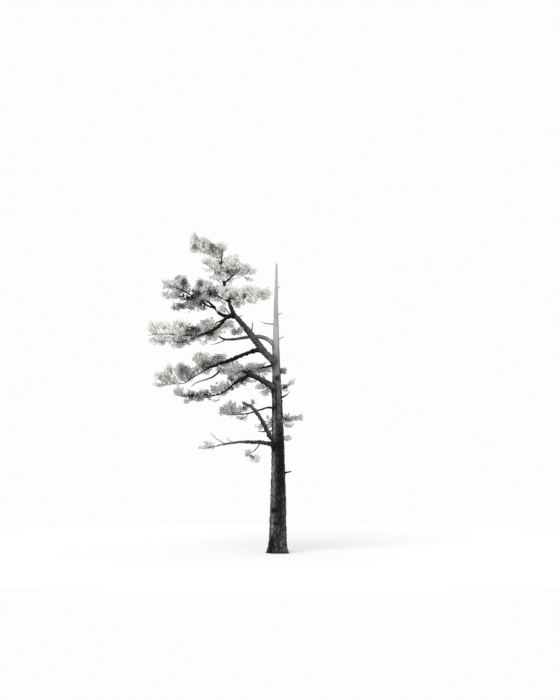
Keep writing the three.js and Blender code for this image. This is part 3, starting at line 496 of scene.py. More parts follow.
# The scales of the fibres and of the patches in each material.
BARK_NOISE = {"trunk_bark": (9, 2.2), "boughs_bark": (22, 5), "twigs_bark": (30, 9)}
PATCHES = {"detail": 5, "stretch": (1, 1, 0.4)}
FIBRES = {"detail": 6, "stretch": (1, 1, 0.15)}
# How much the patches and the fibres change the tone.
MOTTLE = 0.45
FIBRE = 0.24
BARK_BUMP = {"strength": 0.5, "distance": 0.004}
BARK_ROUGHNESS = {"least": 0.78, "more": 0.2}
NEEDLE_GREYS = [0.015, 0.07, 0.2, 0.42, 0.66, 0.84, 0.95]
NEEDLE_TINT = (0.985, 1.0, 0.965)
NEEDLE_NOISE = {"scale": 30, "detail": 2}
NEEDLE_ROUGHNESS = {"least": 0.5, "more": 0.25}
# How much bark and needles mirror: less than most things do.
DULL = 0.12

# The floor's radius is in metres, and it lies this many millimetres below the ground.
FLOOR_RADIUS = 15.0
FLOOR_SIDES = 96
FLOOR_DROP = 2
FLOOR_GREY = 0.72
WORLD_GREY = 0.98
SUN = {"strength": 1.9, "softness": 40, "towards": (0.4, 0.75, -0.8)}


def mix(a, b, share):
    return a + (b - a) * share


def unit(vector):
    return vector / np.linalg.norm(vector)


def units(vectors):
    """Many vectors, each made one long."""
    return vectors / np.linalg.norm(vectors, axis=-1, keepdims=True)


def least_turn(degrees):
    """The same turn, between half a turn to one side and half a turn to the other."""
    return (degrees + 180) % 360 - 180


def dice(seed):
    """A repeatable source of numbers from 0 to 1."""
    state = seed % DICE["range"]

    def roll():
        nonlocal state
        state = (state * DICE["factor"] + DICE["step"]) % DICE["range"]
        return state / DICE["range"]

    return roll


def between(limits, roll):
    return mix(limits[0], limits[1], roll())


def either_way(limits, roll):
    """A number between two values, to one side or the other."""
    value = 2 * roll() - 1
    return math.copysign(mix(limits[0], limits[1], abs(value)), value)


def direction(rise, heading):
    flat = math.cos(math.radians(rise))
    return np.array([
        flat * math.cos(math.radians(heading)),
        flat * math.sin(math.radians(heading)),
        math.sin(math.radians(rise)),
    ])


def blend(values, share):
    """The value at a share of the way along values that are spaced evenly."""
    return np.interp(np.asarray(share) * (len(values) - 1), range(len(values)), values)


def smooth(value):
    value = np.clip(value, 0, 1)
    return value * value * (3 - 2 * value)


class Line:
    """A smooth line through points: where it is, and which way it goes, by the share of its length."""

    def __init__(self, points, samples=200):
        points = np.array(points, float)
        ends = np.vstack([2 * points[0] - points[1], points, 2 * points[-1] - points[-2]])
        place = np.linspace(0, len(points) - 1, samples + 1)
        index = np.minimum(place.astype(int), len(points) - 2)
        t = (place - index)[:, None]
        a, b, c, d = (ends[index + k] for k in range(4))
        cubic = 3 * (b - c) + d - a
        square = 2 * a - 5 * b + 4 * c - d
        self.points = b + 0.5 * t * (c - a + t * (square + t * cubic))
        steps = np.linalg.norm(np.diff(self.points, axis=0), axis=1)
        self.lengths = np.concatenate([[0], np.cumsum(steps)])
        self.length = self.lengths[-1]

    def at(self, share):
        place = np.clip(share, 0, 1) * self.length
        return np.stack([np.interp(place, self.lengths, self.points[:, k]) for k in range(3)], axis=-1)

    def way(self, share, step=0.004):
        return unit(self.at(min(share + step, 1)) - self.at(max(share - step, 0)))


def trunk_centre(height):
    height = np.asarray(height, float)
    east = TRUNK_SWAY["east"] * np.sin(math.pi * height / TRUNK_SWAY["east_wave"])
    north = TRUNK_SWAY["north"] * np.sin(math.pi * height / TRUNK_SWAY["north_wave"])
    return np.stack([TRUNK_LEAN * height / TRUNK_HEIGHT + east, north, height], axis=-1)


def trunk_radius(height, heading):
    """The trunk's radius at a height, with the root flare towards each root."""
    taper = TRUNK_TIP_RADIUS + (TRUNK_FOOT_RADIUS - TRUNK_TIP_RADIUS) * (1 - height / TRUNK_HEIGHT)
    flare = FLARE + sum(
        size * np.maximum(0, np.cos(np.radians(heading - at))) ** ROOT_SHARPNESS for at, size in ROOTS
    )
    return taper + flare * np.exp(-height / FLARE_HEIGHT)


def place_on(start, at):
    """A point on the trunk, at a height, or on a limb, at a share of its length."""
    return trunk_centre(at) if start == "trunk" else LINES[start].at(at)


def limb_line(limb):
    """The line that a limb grows along, step by step."""
    steps = max(FEWEST_STEPS, round(limb.length / LIMB_STEP))
    points = [place_on(limb.start, limb.at)]
    for i in range(steps):
        share = (i + 0.5) / steps
        way = direction(blend(limb.rise, share), blend(limb.heading, share))
        points.append(points[-1] + way * (limb.length / steps))
    return Line(points)


LINES = {}
for limb_name, limb_row in LIMBS.items():
    LINES[limb_name] = limb_line(limb_row)


def limb_radius(name, share):
    limb = LIMBS[name]
    collar = COLLAR * limb.root * np.exp(-share * limb.length / (COLLAR_LENGTH * limb.root))
    return limb.root + (limb.tip - limb.root) * share + collar


# Points along every limb and the trunk, with the radius there, to keep needles out of the wood.
WOOD_SHARES = np.linspace(0, 1, 33)
WOOD_HEIGHTS = np.arange(100, TRUNK_HEIGHT, 60)
WOOD = np.vstack([
    *(np.column_stack([LINES[name].at(WOOD_SHARES), limb_radius(name, WOOD_SHARES)]) for name in LIMBS),
    np.column_stack([trunk_centre(WOOD_HEIGHTS), trunk_radius(WOOD_HEIGHTS, 0)]),
])


def in_wood(point):
    return bool((np.linalg.norm(WOOD[:, :3] - point, axis=1) < WOOD[:, 3]).any())


def mass_foot(mass):
    """Where a mass's stem starts, the way that it sets off, and how thick it is there."""
    if mass.start in LIMBS:
        line = LINES[mass.start]
        return line.at(1), line.way(1), LIMBS[mass.start].tip
    return trunk_centre(mass.start), unit(np.array(mass.end, float)), STEM_FOOT_ON_TRUNK


EYE = np.array([CAMERA["east"], CAMERA["height"]]) / MM
EYE_DISTANCE = CAMERA["distance"] / MM


def as_seen(points):
    """Where points show from the front: east and up in the plane of the trunk."""
    points = np.asarray(points, float)
    nearer = EYE_DISTANCE / (EYE_DISTANCE + points[..., 1])
    return (points[..., [0, 2]] - EYE) * nearer[..., None] + EYE


def tuft_lobe(lobes, east, up, width, height, *back):
    """The small lobe of a tuft, as far back as it says or as the nearest of the mass's own lobes."""
    spot = np.array([east, up], float)
    nearest = min(lobes, key=lambda lobe: np.linalg.norm(as_seen(lobe[0]) - spot))
    north = back[0] if back else nearest[0][1]
    east, up = (spot - EYE) * (EYE_DISTANCE + north) / EYE_DISTANCE + EYE
    return np.array([east, north, up]), np.array([width, max(width, TUFT["depth"]), height], float)


SOLID_LOBES = {
    name: [(mass_foot(mass)[0] + lobe[:3], np.array(lobe[3:], float)) for lobe in mass.lobes]
    for name, mass in MASSES.items()
}
LOBES = {
    name: lobes + [tuft_lobe(lobes, *tuft) for tuft in TUFTS.get(name, [])]
    for name, lobes in SOLID_LOBES.items()
}
LOBE_CENTRES = np.array([centre for lobes in LOBES.values() for centre, _ in lobes])
LOBE_HALVES = np.array([half for lobes in LOBES.values() for _, half in lobes])
LOBE_OWNERS = np.array([name for name, lobes in LOBES.items() for _ in lobes])


def owns(name, points):
    """Whether all the points are in the mass's own space and in no other's."""
    points = np.atleast_2d(points)
    depths = np.linalg.norm((points[:, None] - LOBE_CENTRES) / LOBE_HALVES, axis=2)
    own = depths[:, LOBE_OWNERS == name].min(axis=1)
    others = depths[:, LOBE_OWNERS != name].min(axis=1)
    return bool(((own < SPACE_EDGE) & (own < others)).all())


def how_far_in(point, places):
    """How far inside each of some places a point shows from the front: 0 at the middle, 1 at the edge."""
    places = np.array(places, float)
    return np.linalg.norm((as_seen(point) - places[:, :2]) / places[:, 2:4], axis=1)


def shows_sky(point):
    return bool((how_far_in(point, OPENINGS) < 1).any())


def shadow(point):
    """How much painted shade darkens the foliage at a point."""
    return (np.array(SHADES)[:, 4] * np.exp(-how_far_in(point, SHADES) ** SHADE_EDGE)).max()


def bare_wood():
    """Points along the wood that shows through: where each shows, how far back it is and how wide."""
    spots, norths, widths = [], [], []
    for name, stretch in {**BARE_LIMBS, **BARE_STEMS}.items():
        shares = np.linspace(*stretch, BARE_POINTS)
        is_limb = name in LIMBS
        points = (LINES if is_limb else STEMS)[name].at(shares)
        radius = limb_radius(name, shares) if is_limb else STEM_RADII[name] * (1 - shares)
        spots.append(as_seen(points))
        norths.append(points[:, 1])
        widths.append(radius + BARE_EDGE)
    return np.concatenate(spots), np.concatenate(norths), np.concatenate(widths)


def hides_wood(point, bare):
    """Whether a point is in front of wood that shows."""
    spots, norths, widths = bare
    gap = np.linalg.norm(spots - as_seen(point), axis=1)
    return bool(((gap < widths) & (point[1] < norths)).any())


def turned(way, heading, lift):
    """A way turned about the vertical and lifted."""
    c, s = math.cos(math.radians(heading)), math.sin(math.radians(heading))
    return unit(np.array([c * way[0] - s * way[1], s * way[0] + c * way[1], way[2] + lift]))


def rolled_face(way, roll):
    """The face of a spray that rises along "way", rolled about it."""
    up = unit(UP - way * way[2])
    side = np.cross(way, up)
    return up * math.cos(math.radians(roll)) + side * math.sin(math.radians(roll))


def longest_spray(half):
    return min(LONGEST_SPRAY, math.sqrt(half[0] * half[1]))


def twig_targets(lobe, longest, density, roll):
    """Where a lobe's twigs end: points spread evenly over its skin, from its top to below its middle."""
    centre, half = lobe
    size = (half[0] * half[1] + half[0] * half[2] + half[1] * half[2]) / longest ** 2
    count = max(FEWEST_TWIGS, math.floor(density * size + 0.5))
    phase = 360 * roll()
    targets = []
    for k in range(count):
        high = HIGHEST_TWIG - (HIGHEST_TWIG - LOWEST_TWIG) * (k + 0.5) / count
        turn = math.radians(phase + k * GOLDEN_ANGLE)
        ring = math.sqrt(1 - high * high)
        spot = np.array([ring * math.cos(turn), ring * math.sin(turn), high])
        targets.append(spot * between(TWIG_DEPTH, roll) * half + centre)
    return targets


def curve_point(a, b, c, t):
    return a * (1 - t) ** 2 + b * 2 * t * (1 - t) + c * t * t


def side_sprays(a, b, c, length, roll):
    """The sprays at the sides of a twig, left and right in turn."""
    sprays = []
    for j, share in enumerate(SIDE_SPRAY["at"]):
        turn = (1 if j % 2 else -1) * between(SIDE_SPRAY["turn"], roll)
        along = unit((b - a) * (1 - share) + (c - b) * share)
        way = turned(along, turn, between(SIDE_SPRAY["lift"], roll))
        size = length * between(SIDE_SPRAY["size"], roll)
        sprays.append((curve_point(a, b, c, share), way, either_way(SPRAY_ROLL, roll), size))
    return sprays


def grow_twig(stem, target, longest, roll):
    """One twig from the stem to a target, with a spray at its tip and sprays at its sides."""
    shares = np.arange(STEM_SAMPLES + 1) / STEM_SAMPLES
    nearest = shares[np.argmin(np.linalg.norm(stem.at(shares) - target, axis=1))]
    attach = stem.at(min(max(nearest - TWIG_SWEEP, TWIG_FEET[0]), TWIG_FEET[1]))
    length = longest * between(TIP_SPRAY["size"], roll)
    out = unit(target - attach)
    tip_way = unit(out + UP * TIP_SPRAY["lift"])
    tip = target - tip_way * TIP_SPRAY["past"] * length
    reach = np.linalg.norm(tip - attach)
    tip_roll = either_way(SPRAY_ROLL, roll)
    if reach < SHORTEST_TWIG * length or out @ (tip - attach) < 0:
        short = min(length, np.linalg.norm(target - attach))
        return None, [(attach, out, tip_roll, short)]
    bend = tip - tip_way * TWIG_BEND * reach
    end = tip + tip_way * TWIG_RUN_ON * length
    sprays = [(tip, tip_way, tip_roll, length)] + side_sprays(attach, bend, end, length, roll)
    return (attach, bend, end), sprays


def stem_sprays(stem, longest, roll):
    """The sprays that stand along a stem, to one side and the other, and the one at its tip."""
    count = math.floor(stem.length / STEM_SPRAY["spacing"] + 0.5)
    sprays = [(stem.at(STEM_END_SPRAY["at"]), stem.way(1), 0, STEM_END_SPRAY["size"] * longest)]
    for i in range(1, count):
        share = 1 - i / count
        turn = (1 if i % 2 else -1) * between(STEM_SPRAY["turn"], roll)
        way = turned(stem.way(share), turn, between(STEM_SPRAY["lift"], roll))
        sprays.append((stem.at(share), way, either_way(SPRAY_ROLL, roll), STEM_SPRAY["size"] * longest))
    return [(None, [spray]) for spray in sprays]


def thinned(name, twigs, spacing, middles, to_tuft=False):
    """The twigs with the sprays that keep to the mass's space and stay apart.

    A twig to a tuft may cross open air on its way.
    """

    def is_kept(spray):
        root, way, _, length = spray
        checked = np.array([root + way * share * length for share in SPRAY_CHECKS])
        middle = checked[0]
        if not owns(name, checked) or in_wood(middle) or shows_sky(middle):
            return False
        if middles and np.linalg.norm(np.array(middles) - middle, axis=1).min() < spacing * length:
            return False
        middles.append(middle)
        return True

    kept = []
    for curve, (tip, *sides) in twigs:
        if is_kept(tip) and (to_tuft or curve is None or owns(name, curve_point(*curve, TWIG_CHECK))):
            kept.append((curve, [tip] + [side for side in sides if is_kept(side)]))
    return kept


def grow_tuft(name, stem, tuft, roll, middles):
    """A tuft's twigs: they branch off one bare twig that runs from the stem towards the tuft's middle."""
    bare, _ = grow_twig(stem, tuft[0], TUFT["spray"], roll)
    carrier = stem if bare is None else Line([curve_point(*bare, share) for share in TUFT_SHARES])
    targets = twig_targets(tuft, TUFT["spray"], TUFT["density"], roll)
    grown = [grow_twig(carrier, target, TUFT["spray"], roll) for target in targets]
    kept = thinned(name, grown, TUFT["spacing"], middles, to_tuft=True)
    return kept + [(bare, [])] if kept and bare is not None else kept


def grow_mass(name):
    """A mass's stem, and its twigs with their sprays: first the solids' own ones, then the finer growth."""
    mass = MASSES[name]
    foot, along, radius = mass_foot(mass)
    end = foot + np.array(mass.end, float)
    elbow = foot + along * STEM_ELBOW * np.linalg.norm(end - foot)
    stem = Line([foot, elbow, end])
    middles = []
    twigs = []
    for raised, density, size, spacing in GROWTH:
        roll = dice(mass.seed * SEED_STEP + raised)
        grown = []
        for lobe in SOLID_LOBES[name]:
            longest = longest_spray(lobe[1]) * size
            targets = twig_targets(lobe, longest, density, roll)
            grown += [grow_twig(stem, target, longest, roll) for target in targets]
        on_stem = stem_sprays(stem, longest_spray(LOBES[name][0][1]) * size, roll)
        twigs += thinned(name, on_stem + grown, spacing, middles)
    for tuft in LOBES[name][len(SOLID_LOBES[name]):]:
        twigs += grow_tuft(name, stem, tuft, roll, middles)
    return stem, radius, twigs


def tubes(lines, radii, sides):
    """Closed tubes along lines of points, (tubes, rings, 3). Radii are (tubes, rings) or with sides too.

    A tube's corners come ring by ring, and then the middles of its two ends.
    """
    count, rings = lines.shape[:2]
    ways = units(np.gradient(lines, axis=1))
    level = np.abs(ways).max(axis=1).argmin(axis=1)
    across = units(np.cross(ways, np.eye(3)[level][:, None]))
    over = np.cross(across, ways)
    turn = np.arange(sides) * 2 * math.pi / sides
    rim = across[:, :, None] * np.cos(turn)[:, None] + over[:, :, None] * np.sin(turn)[:, None]
    radii = radii if radii.ndim == 3 else radii[:, :, None]
    skin = lines[:, :, None] + rim * radii[..., None]
    ends = lines[:, [0, -1]]
    corners = np.concatenate([skin.reshape(count, -1, 3), ends], axis=1)
    faces = tube_faces(rings, sides)
    size = rings * sides + 2
    return corners.reshape(-1, 3), (np.arange(count)[:, None, None] * size + faces).reshape(-1, 3)


def spikes(lines, radii):
    """Thin three-sided shoots along lines of three points, that taper to a point at the end."""
    corners, _ = tubes(lines, np.broadcast_to(radii, lines.shape[:2]), 3)
    corners = corners.reshape(len(lines), -1, 3)[:, [0, 1, 2, 3, 4, 5, -1]]
    wall = [[0, 3, 4], [0, 4, 1], [1, 4, 5], [1, 5, 2], [2, 5, 3], [2, 3, 0]]
    ends = [[0, 1, 2], [3, 6, 4], [4, 6, 5], [5, 6, 3]]
    faces = np.arange(len(lines))[:, None, None] * corners.shape[1] + np.array(wall + ends)
    return corners.reshape(-1, 3), faces.reshape(-1, 3)


def tube_faces(rings, sides):
    """The triangles of one tube, with a fan on each end."""
    ring, side = np.meshgrid(np.arange(rings - 1), np.arange(sides), indexing="ij")
    a = ring * sides + side
    b = ring * sides + (side + 1) % sides
    wall = np.concatenate([np.stack([a, a + sides, b + sides], -1), np.stack([a, b + sides, b], -1)])
    side = np.arange(sides)
    after = (side + 1) % sides
    last = (rings - 1) * sides
    foot = np.stack([side, after, np.full(sides, rings * sides)], -1)
    tip = np.stack([after + last, side + last, np.full(sides, rings * sides + 1)], -1)
    return np.concatenate([wall.reshape(-1, 3), foot, tip])


def plates(along, around, columns, seed):
    """Bark plates on a skin: how far inside its plate each point is, 0 in a crack, and the plate's number.

    "along" counts rows and "around" runs from 0 to 1 once round. Each plate grows round a jittered point.
    """
    spare_rows = 4
    rows = int(math.ceil(along.max())) + spare_rows
    rng = np.random.default_rng(seed)
    jitter = (rng.random((rows, columns, 2)) - 0.5) * CELL_JITTER
    number = rng.random((rows, columns))
    place = around * columns
    nearest = np.full(along.shape, np.inf)
    second = np.full(along.shape, np.inf)
    plate = np.zeros(along.shape)
    for step in (-1, 0, 1):
        row = np.floor(along).astype(int) + 1 + step
        shift = 0.5 * (row % 2)
        for beside in (-1, 0, 1):
            column = np.floor(place - shift).astype(int) + beside
            wrapped = column % columns
            row_at = row - 0.5 + jitter[row, wrapped, 0]
            column_at = column + shift + 0.5 + jitter[row, wrapped, 1]
            gap = np.hypot(along - row_at, place - column_at)
            closer = gap < nearest
            second = np.where(closer, nearest, np.minimum(second, gap))
            plate = np.where(closer, number[row, wrapped], plate)
            nearest = np.where(closer, gap, nearest)
    return smooth((second - nearest) / PLATE_EDGE), plate


def make_piece(name, corners, faces, materials, kinds=None, values=None, flat=False):
    """One mesh object, from corners in millimetres and triangles. "values" are numbers for each corner."""
    mesh = bpy.data.meshes.new(name)
    mesh.vertices.add(len(corners))
    mesh.vertices.foreach_set("co", (np.asarray(corners) * MM).astype(np.float32).ravel())
    mesh.loops.add(faces.size)
    mesh.loops.foreach_set("vertex_index", faces.astype(np.int32).ravel())
    mesh.polygons.add(len(faces))
    mesh.polygons.foreach_set("loop_start", np.arange(0, faces.size, 3, dtype=np.int32))
    for material in materials:
        mesh.materials.append(material)
    if kinds is not None:
        mesh.polygons.foreach_set("material_index", kinds.astype(np.int32))
    for key, numbers in (values or {}).items():
        layer = mesh.attributes.new(key, "FLOAT", "POINT")
        layer.data.foreach_set("value", np.asarray(numbers, np.float32).ravel())
    mesh.update(calc_edges=True)
    if not flat:
        mesh.shade_smooth()
    piece = bpy.data.objects.new(name, mesh)
    bpy.context.collection.objects.link(piece)
    return piece


class Gathered:
    """Corners, triangles and numbers of many shapes, put together one after another."""

    def __init__(self):
        self.corners = []
        self.faces = []
        self.kinds = []
        self.values = {}
        self.count = 0

    def add(self, corners, faces, kinds=0, **values):
        self.corners.append(corners)
        self.faces.append(faces + self.count)
        self.kinds.append(np.broadcast_to(kinds, len(faces)))
        self.count += len(corners)
        for key, numbers in values.items():
            self.values.setdefault(key, []).append(np.broadcast_to(numbers, len(corners)))

    def piece(self, name, materials, flat=False):
        corners, faces, kinds = (np.concatenate(parts) for parts in (self.corners, self.faces, self.kinds))
        values = {key: np.concatenate(numbers) for key, numbers in self.values.items()}
        return make_piece(name, corners, faces, materials, kinds, values, flat)


def knots():
    """Where limbs and dead twigs leave the trunk: (height, heading, radius of the limb)."""
    limbs = [(limb.at, limb.heading[0], limb.root) for limb in LIMBS.values() if limb.start == "trunk"]
    twigs = [(at, heading, radius) for start, at, _, _, heading, radius in DEAD_TWIGS if start == "trunk"]
    return limbs + twigs


def bark_height(plate, number, uneven):
    """How high the bark stands at points in its plates, against its mean height."""
    return plate - PLATE_LEVEL + uneven * (number - 0.5)


def trunk_plates(kind, height, around):
    """The trunk's plates or scales: how far in each point is, its plate's number, and the bark's height."""
    plate, number = plates(height / kind["row"], around, kind["columns"], kind["seed"])
    return plate, number, kind["depth"] * bark_height(plate, number, kind["uneven"])


def add_knots(relief, height, heading, radius):
    """The relief with the swelling at each knot, and how near each point is to a knot."""
    near = np.zeros(height.shape)
    for at, towards, limb in knots():
        aside = np.radians(least_turn(heading - towards)) * radius
        reach = np.hypot((height - at) * KNOT["height"], aside) / (KNOT["spread"] * limb)
        swell = np.exp(-reach ** 2)
        relief = relief + KNOT["rise"] * limb * swell
        near = np.maximum(near, np.minimum(1, KNOT["core"] * swell) * np.minimum(1, limb / KNOT["radius"]))
    return relief, near


def marked(tone, height, heading, radius, wander, knot):
    """The trunk's tone with its streaks, partly painted light and shade, and darker at its knots and scars.
    """
    for middle, spread, low, high, paler in TRUNK_STREAKS_AND_PAINTED_LIGHT:
        beside = least_turn(heading - middle + STREAK_WANDER * wander) / spread
        along = smooth((height - low) / STREAK_END) * smooth((high - height) / STREAK_END)
        tone = tone + paler * np.exp(-beside ** 2) * along
    tone = tone * (1 - KNOT["dark"] * knot)
    for at, towards, size in SCARS:
        aside = np.radians(least_turn(heading - towards)) * radius
        tone = tone * (1 - SCAR_DARKNESS * np.exp(-((height - at) / size) ** 2 - (aside / size) ** 2))
    return tone


def trunk_piece(material):
    """The trunk: its taper and flare, bark in plates and scales, swollen knots, and the snapped top."""
    sides = TRUNK_GRID["sides"]
    rings = round(TRUNK_HEIGHT / TRUNK_GRID["ring"]) + 1
    levels = np.linspace(0, TRUNK_HEIGHT, rings)
    height, heading = np.meshgrid(levels, np.arange(sides) * 360 / sides, indexing="ij")
    radius = trunk_radius(height, heading)
    thick = 1 - smooth((height - BARK_THINS[0]) / (BARK_THINS[1] - BARK_THINS[0]))
    wander = sum(size * np.sin(height / wave + start) for size, wave, start in TRUNK_WANDER)
    around = (heading / 360 + wander / TRUNK_PLATES["columns"]) % 1
    plate, number, deep = trunk_plates(TRUNK_PLATES, height, around)
    scale, speck, fine = trunk_plates(TRUNK_SCALES, height, around)
    relief = deep * thick + fine * mix(SPIRE_RELIEF, 1, thick)
    relief = relief * np.minimum(1, radius / THIN_TRUNK["radius"] + THIN_TRUNK["least"])
    relief, knot = add_knots(relief, height, heading, radius)
    girth = radius + relief
    snapped = SPIRE_BREAK * np.cos(np.radians(heading - SPIRE_BREAK_HEADING)) + SPLINTER * (speck - 0.5)
    rise = snapped * smooth((height - TRUNK_HEIGHT + SNAP_LENGTH) / SNAP_LENGTH)
    turn = np.radians(heading)
    skin = trunk_centre(height) + np.stack([girth * np.cos(turn), girth * np.sin(turn), rise], axis=-1)
    ends = np.vstack([trunk_centre(0), trunk_centre(TRUNK_HEIGHT) - UP * SPLINTER])
    tone = np.interp(height, *zip(*TRUNK_TONE)) + PLATE_TONES["trunk"] * (number - 0.5) * thick
    tone = marked(tone, height, heading, radius, wander, knot)
    # Painted shade: "crack" marks the cracks between plates and scales, which the material paints darker.
    crack = 1 - np.minimum(mix(1, plate, thick), mix(1, scale, mix(*SCALE_CRACKS, thick)))
    corners = np.vstack([skin.reshape(-1, 3), ends])
    faces = tube_faces(rings, sides)[:, ::-1]
    values = {"tone": np.append(tone.ravel(), tone[[0, -1], 0]), "crack": np.append(crack.ravel(), [0, 0])}
    return make_piece("trunk_bark", corners, faces, [material], values=values)


def limb_skin(name, share, radius, seed):
    """A limb's radius all over its skin, with its plates and knobs, and what plates() says of them."""
    line = LINES[name]
    *_, rough = BARKS[LIMBS[name].bark]
    girth = 2 * math.pi * radius.mean()
    sides = int(np.clip(round(girth / LIMB_GRID["side"]), *LIMB_GRID["sides"]))
    row = share * line.length / LIMB_PLATES["row"]
    along, around = np.meshgrid(row, np.arange(sides) / sides, indexing="ij")
    columns = max(LIMB_PLATES["fewest"], round(girth / LIMB_PLATES["width"]))
    plate, number = plates(along, around, columns, seed)
    knob_rows = along * LIMB_PLATES["row"] / KNOB["row"]
    knob, swell = plates(knob_rows, around, KNOB["columns"], seed + KNOB["seed"])
    left = (1 - share) * line.length
    depth = np.maximum(LIMB_PLATES["depth"] * radius, LIMB_PLATES["least"]) * rough
    depth = depth * np.minimum(1, CALMEST_PLATES + left / LIMB_CALM)
    knobs = KNOB["rise"] * rough * radius[:, None] * (knob * swell - KNOB["level"])
    rounded = np.sqrt(1 - np.clip(1 - left / radius, 0, LIMB_ROUNDING) ** 2)
    skin = (radius * rounded)[:, None]
    skin = skin + (depth * rounded)[:, None] * bark_height(plate, number, LIMB_PLATES["uneven"])
    skin = skin + knobs * rounded[:, None] * np.minimum(1, left / LIMB_CALM)[:, None]
    return skin, plate, number


def add_limb(wood, name, seed):
    """One limb's bark: a tapering tube with knobbly plates, a rounded end and painted shade on its
    underside.
    """
    line = LINES[name]
    rings = max(LIMB_GRID["fewest_rings"], round(line.length / LIMB_GRID["ring"]))
    share = np.linspace(0, 1, rings)
    radius = limb_radius(name, share)
    skin, plate, number = limb_skin(name, share, radius, seed)
    sides = skin.shape[1]
    corners, faces = tubes(line.at(share)[None], skin[None], sides)
    middle = np.vstack([np.repeat(line.at(share), sides, axis=0), line.at(share[[0, -1]])])
    # Painted shade: the lower a point lies below the limb's middle, the darker its tone is painted.
    under = np.clip(-(corners - middle)[:, 2] / np.append(np.repeat(radius, sides), radius[[0, -1]]), 0, 1)
    shares = np.append(np.repeat(share, sides), [0, 1])
    numbers = np.append(number.ravel(), [0.5, 0.5])
    pale, end, _ = BARKS[LIMBS[name].bark]
    tone = mix(pale, end, shares) - UNDERSIDE_PAINTED_SHADE * under
    tone = tone + PLATE_TONES["limb"] * (numbers - 0.5)
    # Painted shade: "crack" marks the cracks between plates, which the material paints darker.
    wood.add(corners, faces, tone=tone, crack=1 - np.append(plate.ravel(), [1, 1]))


def add_twiglet(wood, root, way, length, radius, tone, roll):
    """One short twiglet, off a dead twig that runs this way and is this long and thick."""
    side = turned(way, either_way(TWIGLET["turn"], roll), between(TWIGLET["lift"], roll))
    size = between(TWIGLET["length"], roll) * length
    knee = root + side * size * TWIGLET["knee"]
    line = np.array([root, knee, root + (side + UP * TWIGLET["rise"]) * size])
    thins = np.array(TWIGLET["thins"]) * radius
    wood.add(*tubes(line[None], thins[None], TWIGLET["sides"]), tone=tone, crack=0)


def add_dead_twig(wood, limb, at, length, rise, heading, radius, roll):
    """A bare dead twig with a knee half way, and short twiglets off it."""
    on_trunk = limb == "trunk"
    foot = place_on(limb, at)
    depth = trunk_radius(at, heading) if on_trunk else limb_radius(limb, at)
    lift, turn = DEAD_TWIG["bend"]
    knee = foot + direction(rise, heading) * (depth + length / 2)
    tip = knee + direction(rise + lift, heading + turn) * length / 2
    line = Line([foot, knee, tip])
    tone = DEAD_TWIG_TONE["pale" if on_trunk and at > BARK_THINS[1] else "dark"]
    shares = np.linspace(0, 1, DEAD_TWIG["rings"])
    knobs = 1 + DEAD_TWIG["knobs"] * (np.array([roll() for _ in shares]) - 0.5)
    point = 1 - DEAD_TWIG["taper"] * smooth((shares - DEAD_TWIG["taper_from"]) / DEAD_TWIG["taper_over"])
    girth = radius * blend(DEAD_TWIG["thins"], shares) * knobs * point
    wood.add(*tubes(line.at(shares)[None], girth[None], DEAD_TWIG["sides"]), tone=tone, crack=0)
    start = depth / line.length
    twiglets = length * (1 - start) / TWIGLET["spacing"]
    for k in range(round(twiglets)):
        share = mix(start, 1, (k + TWIGLET["first"]) / max(1, twiglets))
        add_twiglet(wood, line.at(share), line.way(min(share, 1)), length, radius, tone, roll)


def limbs_piece(material):
    """All the limbs and dead twigs in one mesh."""
    wood = Gathered()
    for seed, name in enumerate(LIMBS):
        add_limb(wood, name, seed)
    roll = dice(TWIGLET["seed"])
    for twig in DEAD_TWIGS + THIN_TWIGS:
        add_dead_twig(wood, *twig, roll)
    return wood.piece("boughs_bark", [material])


def spray_shoots(root, way, roll, length):
    """The shoots of one spray: each a bent line from the spray's middle to one of the blade's teeth."""
    face = rolled_face(way, roll)
    across = unit(np.cross(way, face))
    normal = unit(np.cross(across, way))
    normal = normal if normal[2] > 0 else -normal
    lines = []
    for (along, out), start in SHOOTS:
        tip_at = length * along
        side = out * SPRAY_WIDTH * length
        lift = SHOOT_LIFT["height"] * (SHOOT_LIFT["middle"] + abs(out)) * length / LONGEST_SPRAY
        end = root + way * tip_at + across * side + normal * lift
        foot = root + way * start * length
        knee = foot + way * (tip_at - start * length) * SHOOT_BEND["along"]
        knee = knee + across * side * SHOOT_BEND["out"]
        lines.append((foot, knee, end))
    return lines


def spray_tone(mass, stem_points, lobes, middle, roll):
    """A spray's tone: painted shade near the mass's stem, as seen from the front, and painted light high up.
    """
    # Painted shade: darker the nearer the spray is to the mass's stem.
    gaps = np.linalg.norm((stem_points - middle) * [1, PAINTED_SHADE_ROUND_STEM["depth"], 1], axis=1)
    dark = PAINTED_SHADE_ROUND_STEM["darkness"] * math.exp(-(gaps.min() / PAINTED_SHADE_ROUND_STEM["reach"]) ** 2)
    places = [(middle - centre) / half for centre, half in lobes]
    # Painted light: the higher the spray stands in its lobes, the paler it is painted.
    high = max(place[2] for place in places if np.linalg.norm(place) < TONE["near"])
    return mass.tone + TONE["base"] + TONE["high"] * high - dark + TONE["spread"] * (2 * roll() - 1)


def needle_ways(axis, owner, order, share, rng):
    """For each needle the way out from its shoot, and the way that it points."""
    side = units(np.cross(axis, UP))
    over = np.cross(side, axis)
    jitter = rng.uniform(-NEEDLE_TURN["jitter"], NEEDLE_TURN["jitter"], len(order))
    turn = np.radians(order * GOLDEN_ANGLE + owner * NEEDLE_TURN["shoot"] + jitter)
    jitter = rng.uniform(-NEEDLE_SPREAD["jitter"], NEEDLE_SPREAD["jitter"], len(order))
    spread = np.radians(mix(*NEEDLE_SPREAD["angles"], share ** NEEDLE_SPREAD["curve"]) + jitter)
    out = side * np.cos(turn)[:, None] + over * np.sin(turn)[:, None]
    return out, units(axis * np.cos(spread)[:, None] + out * np.sin(spread)[:, None] + UP * NEEDLE_LIFT)


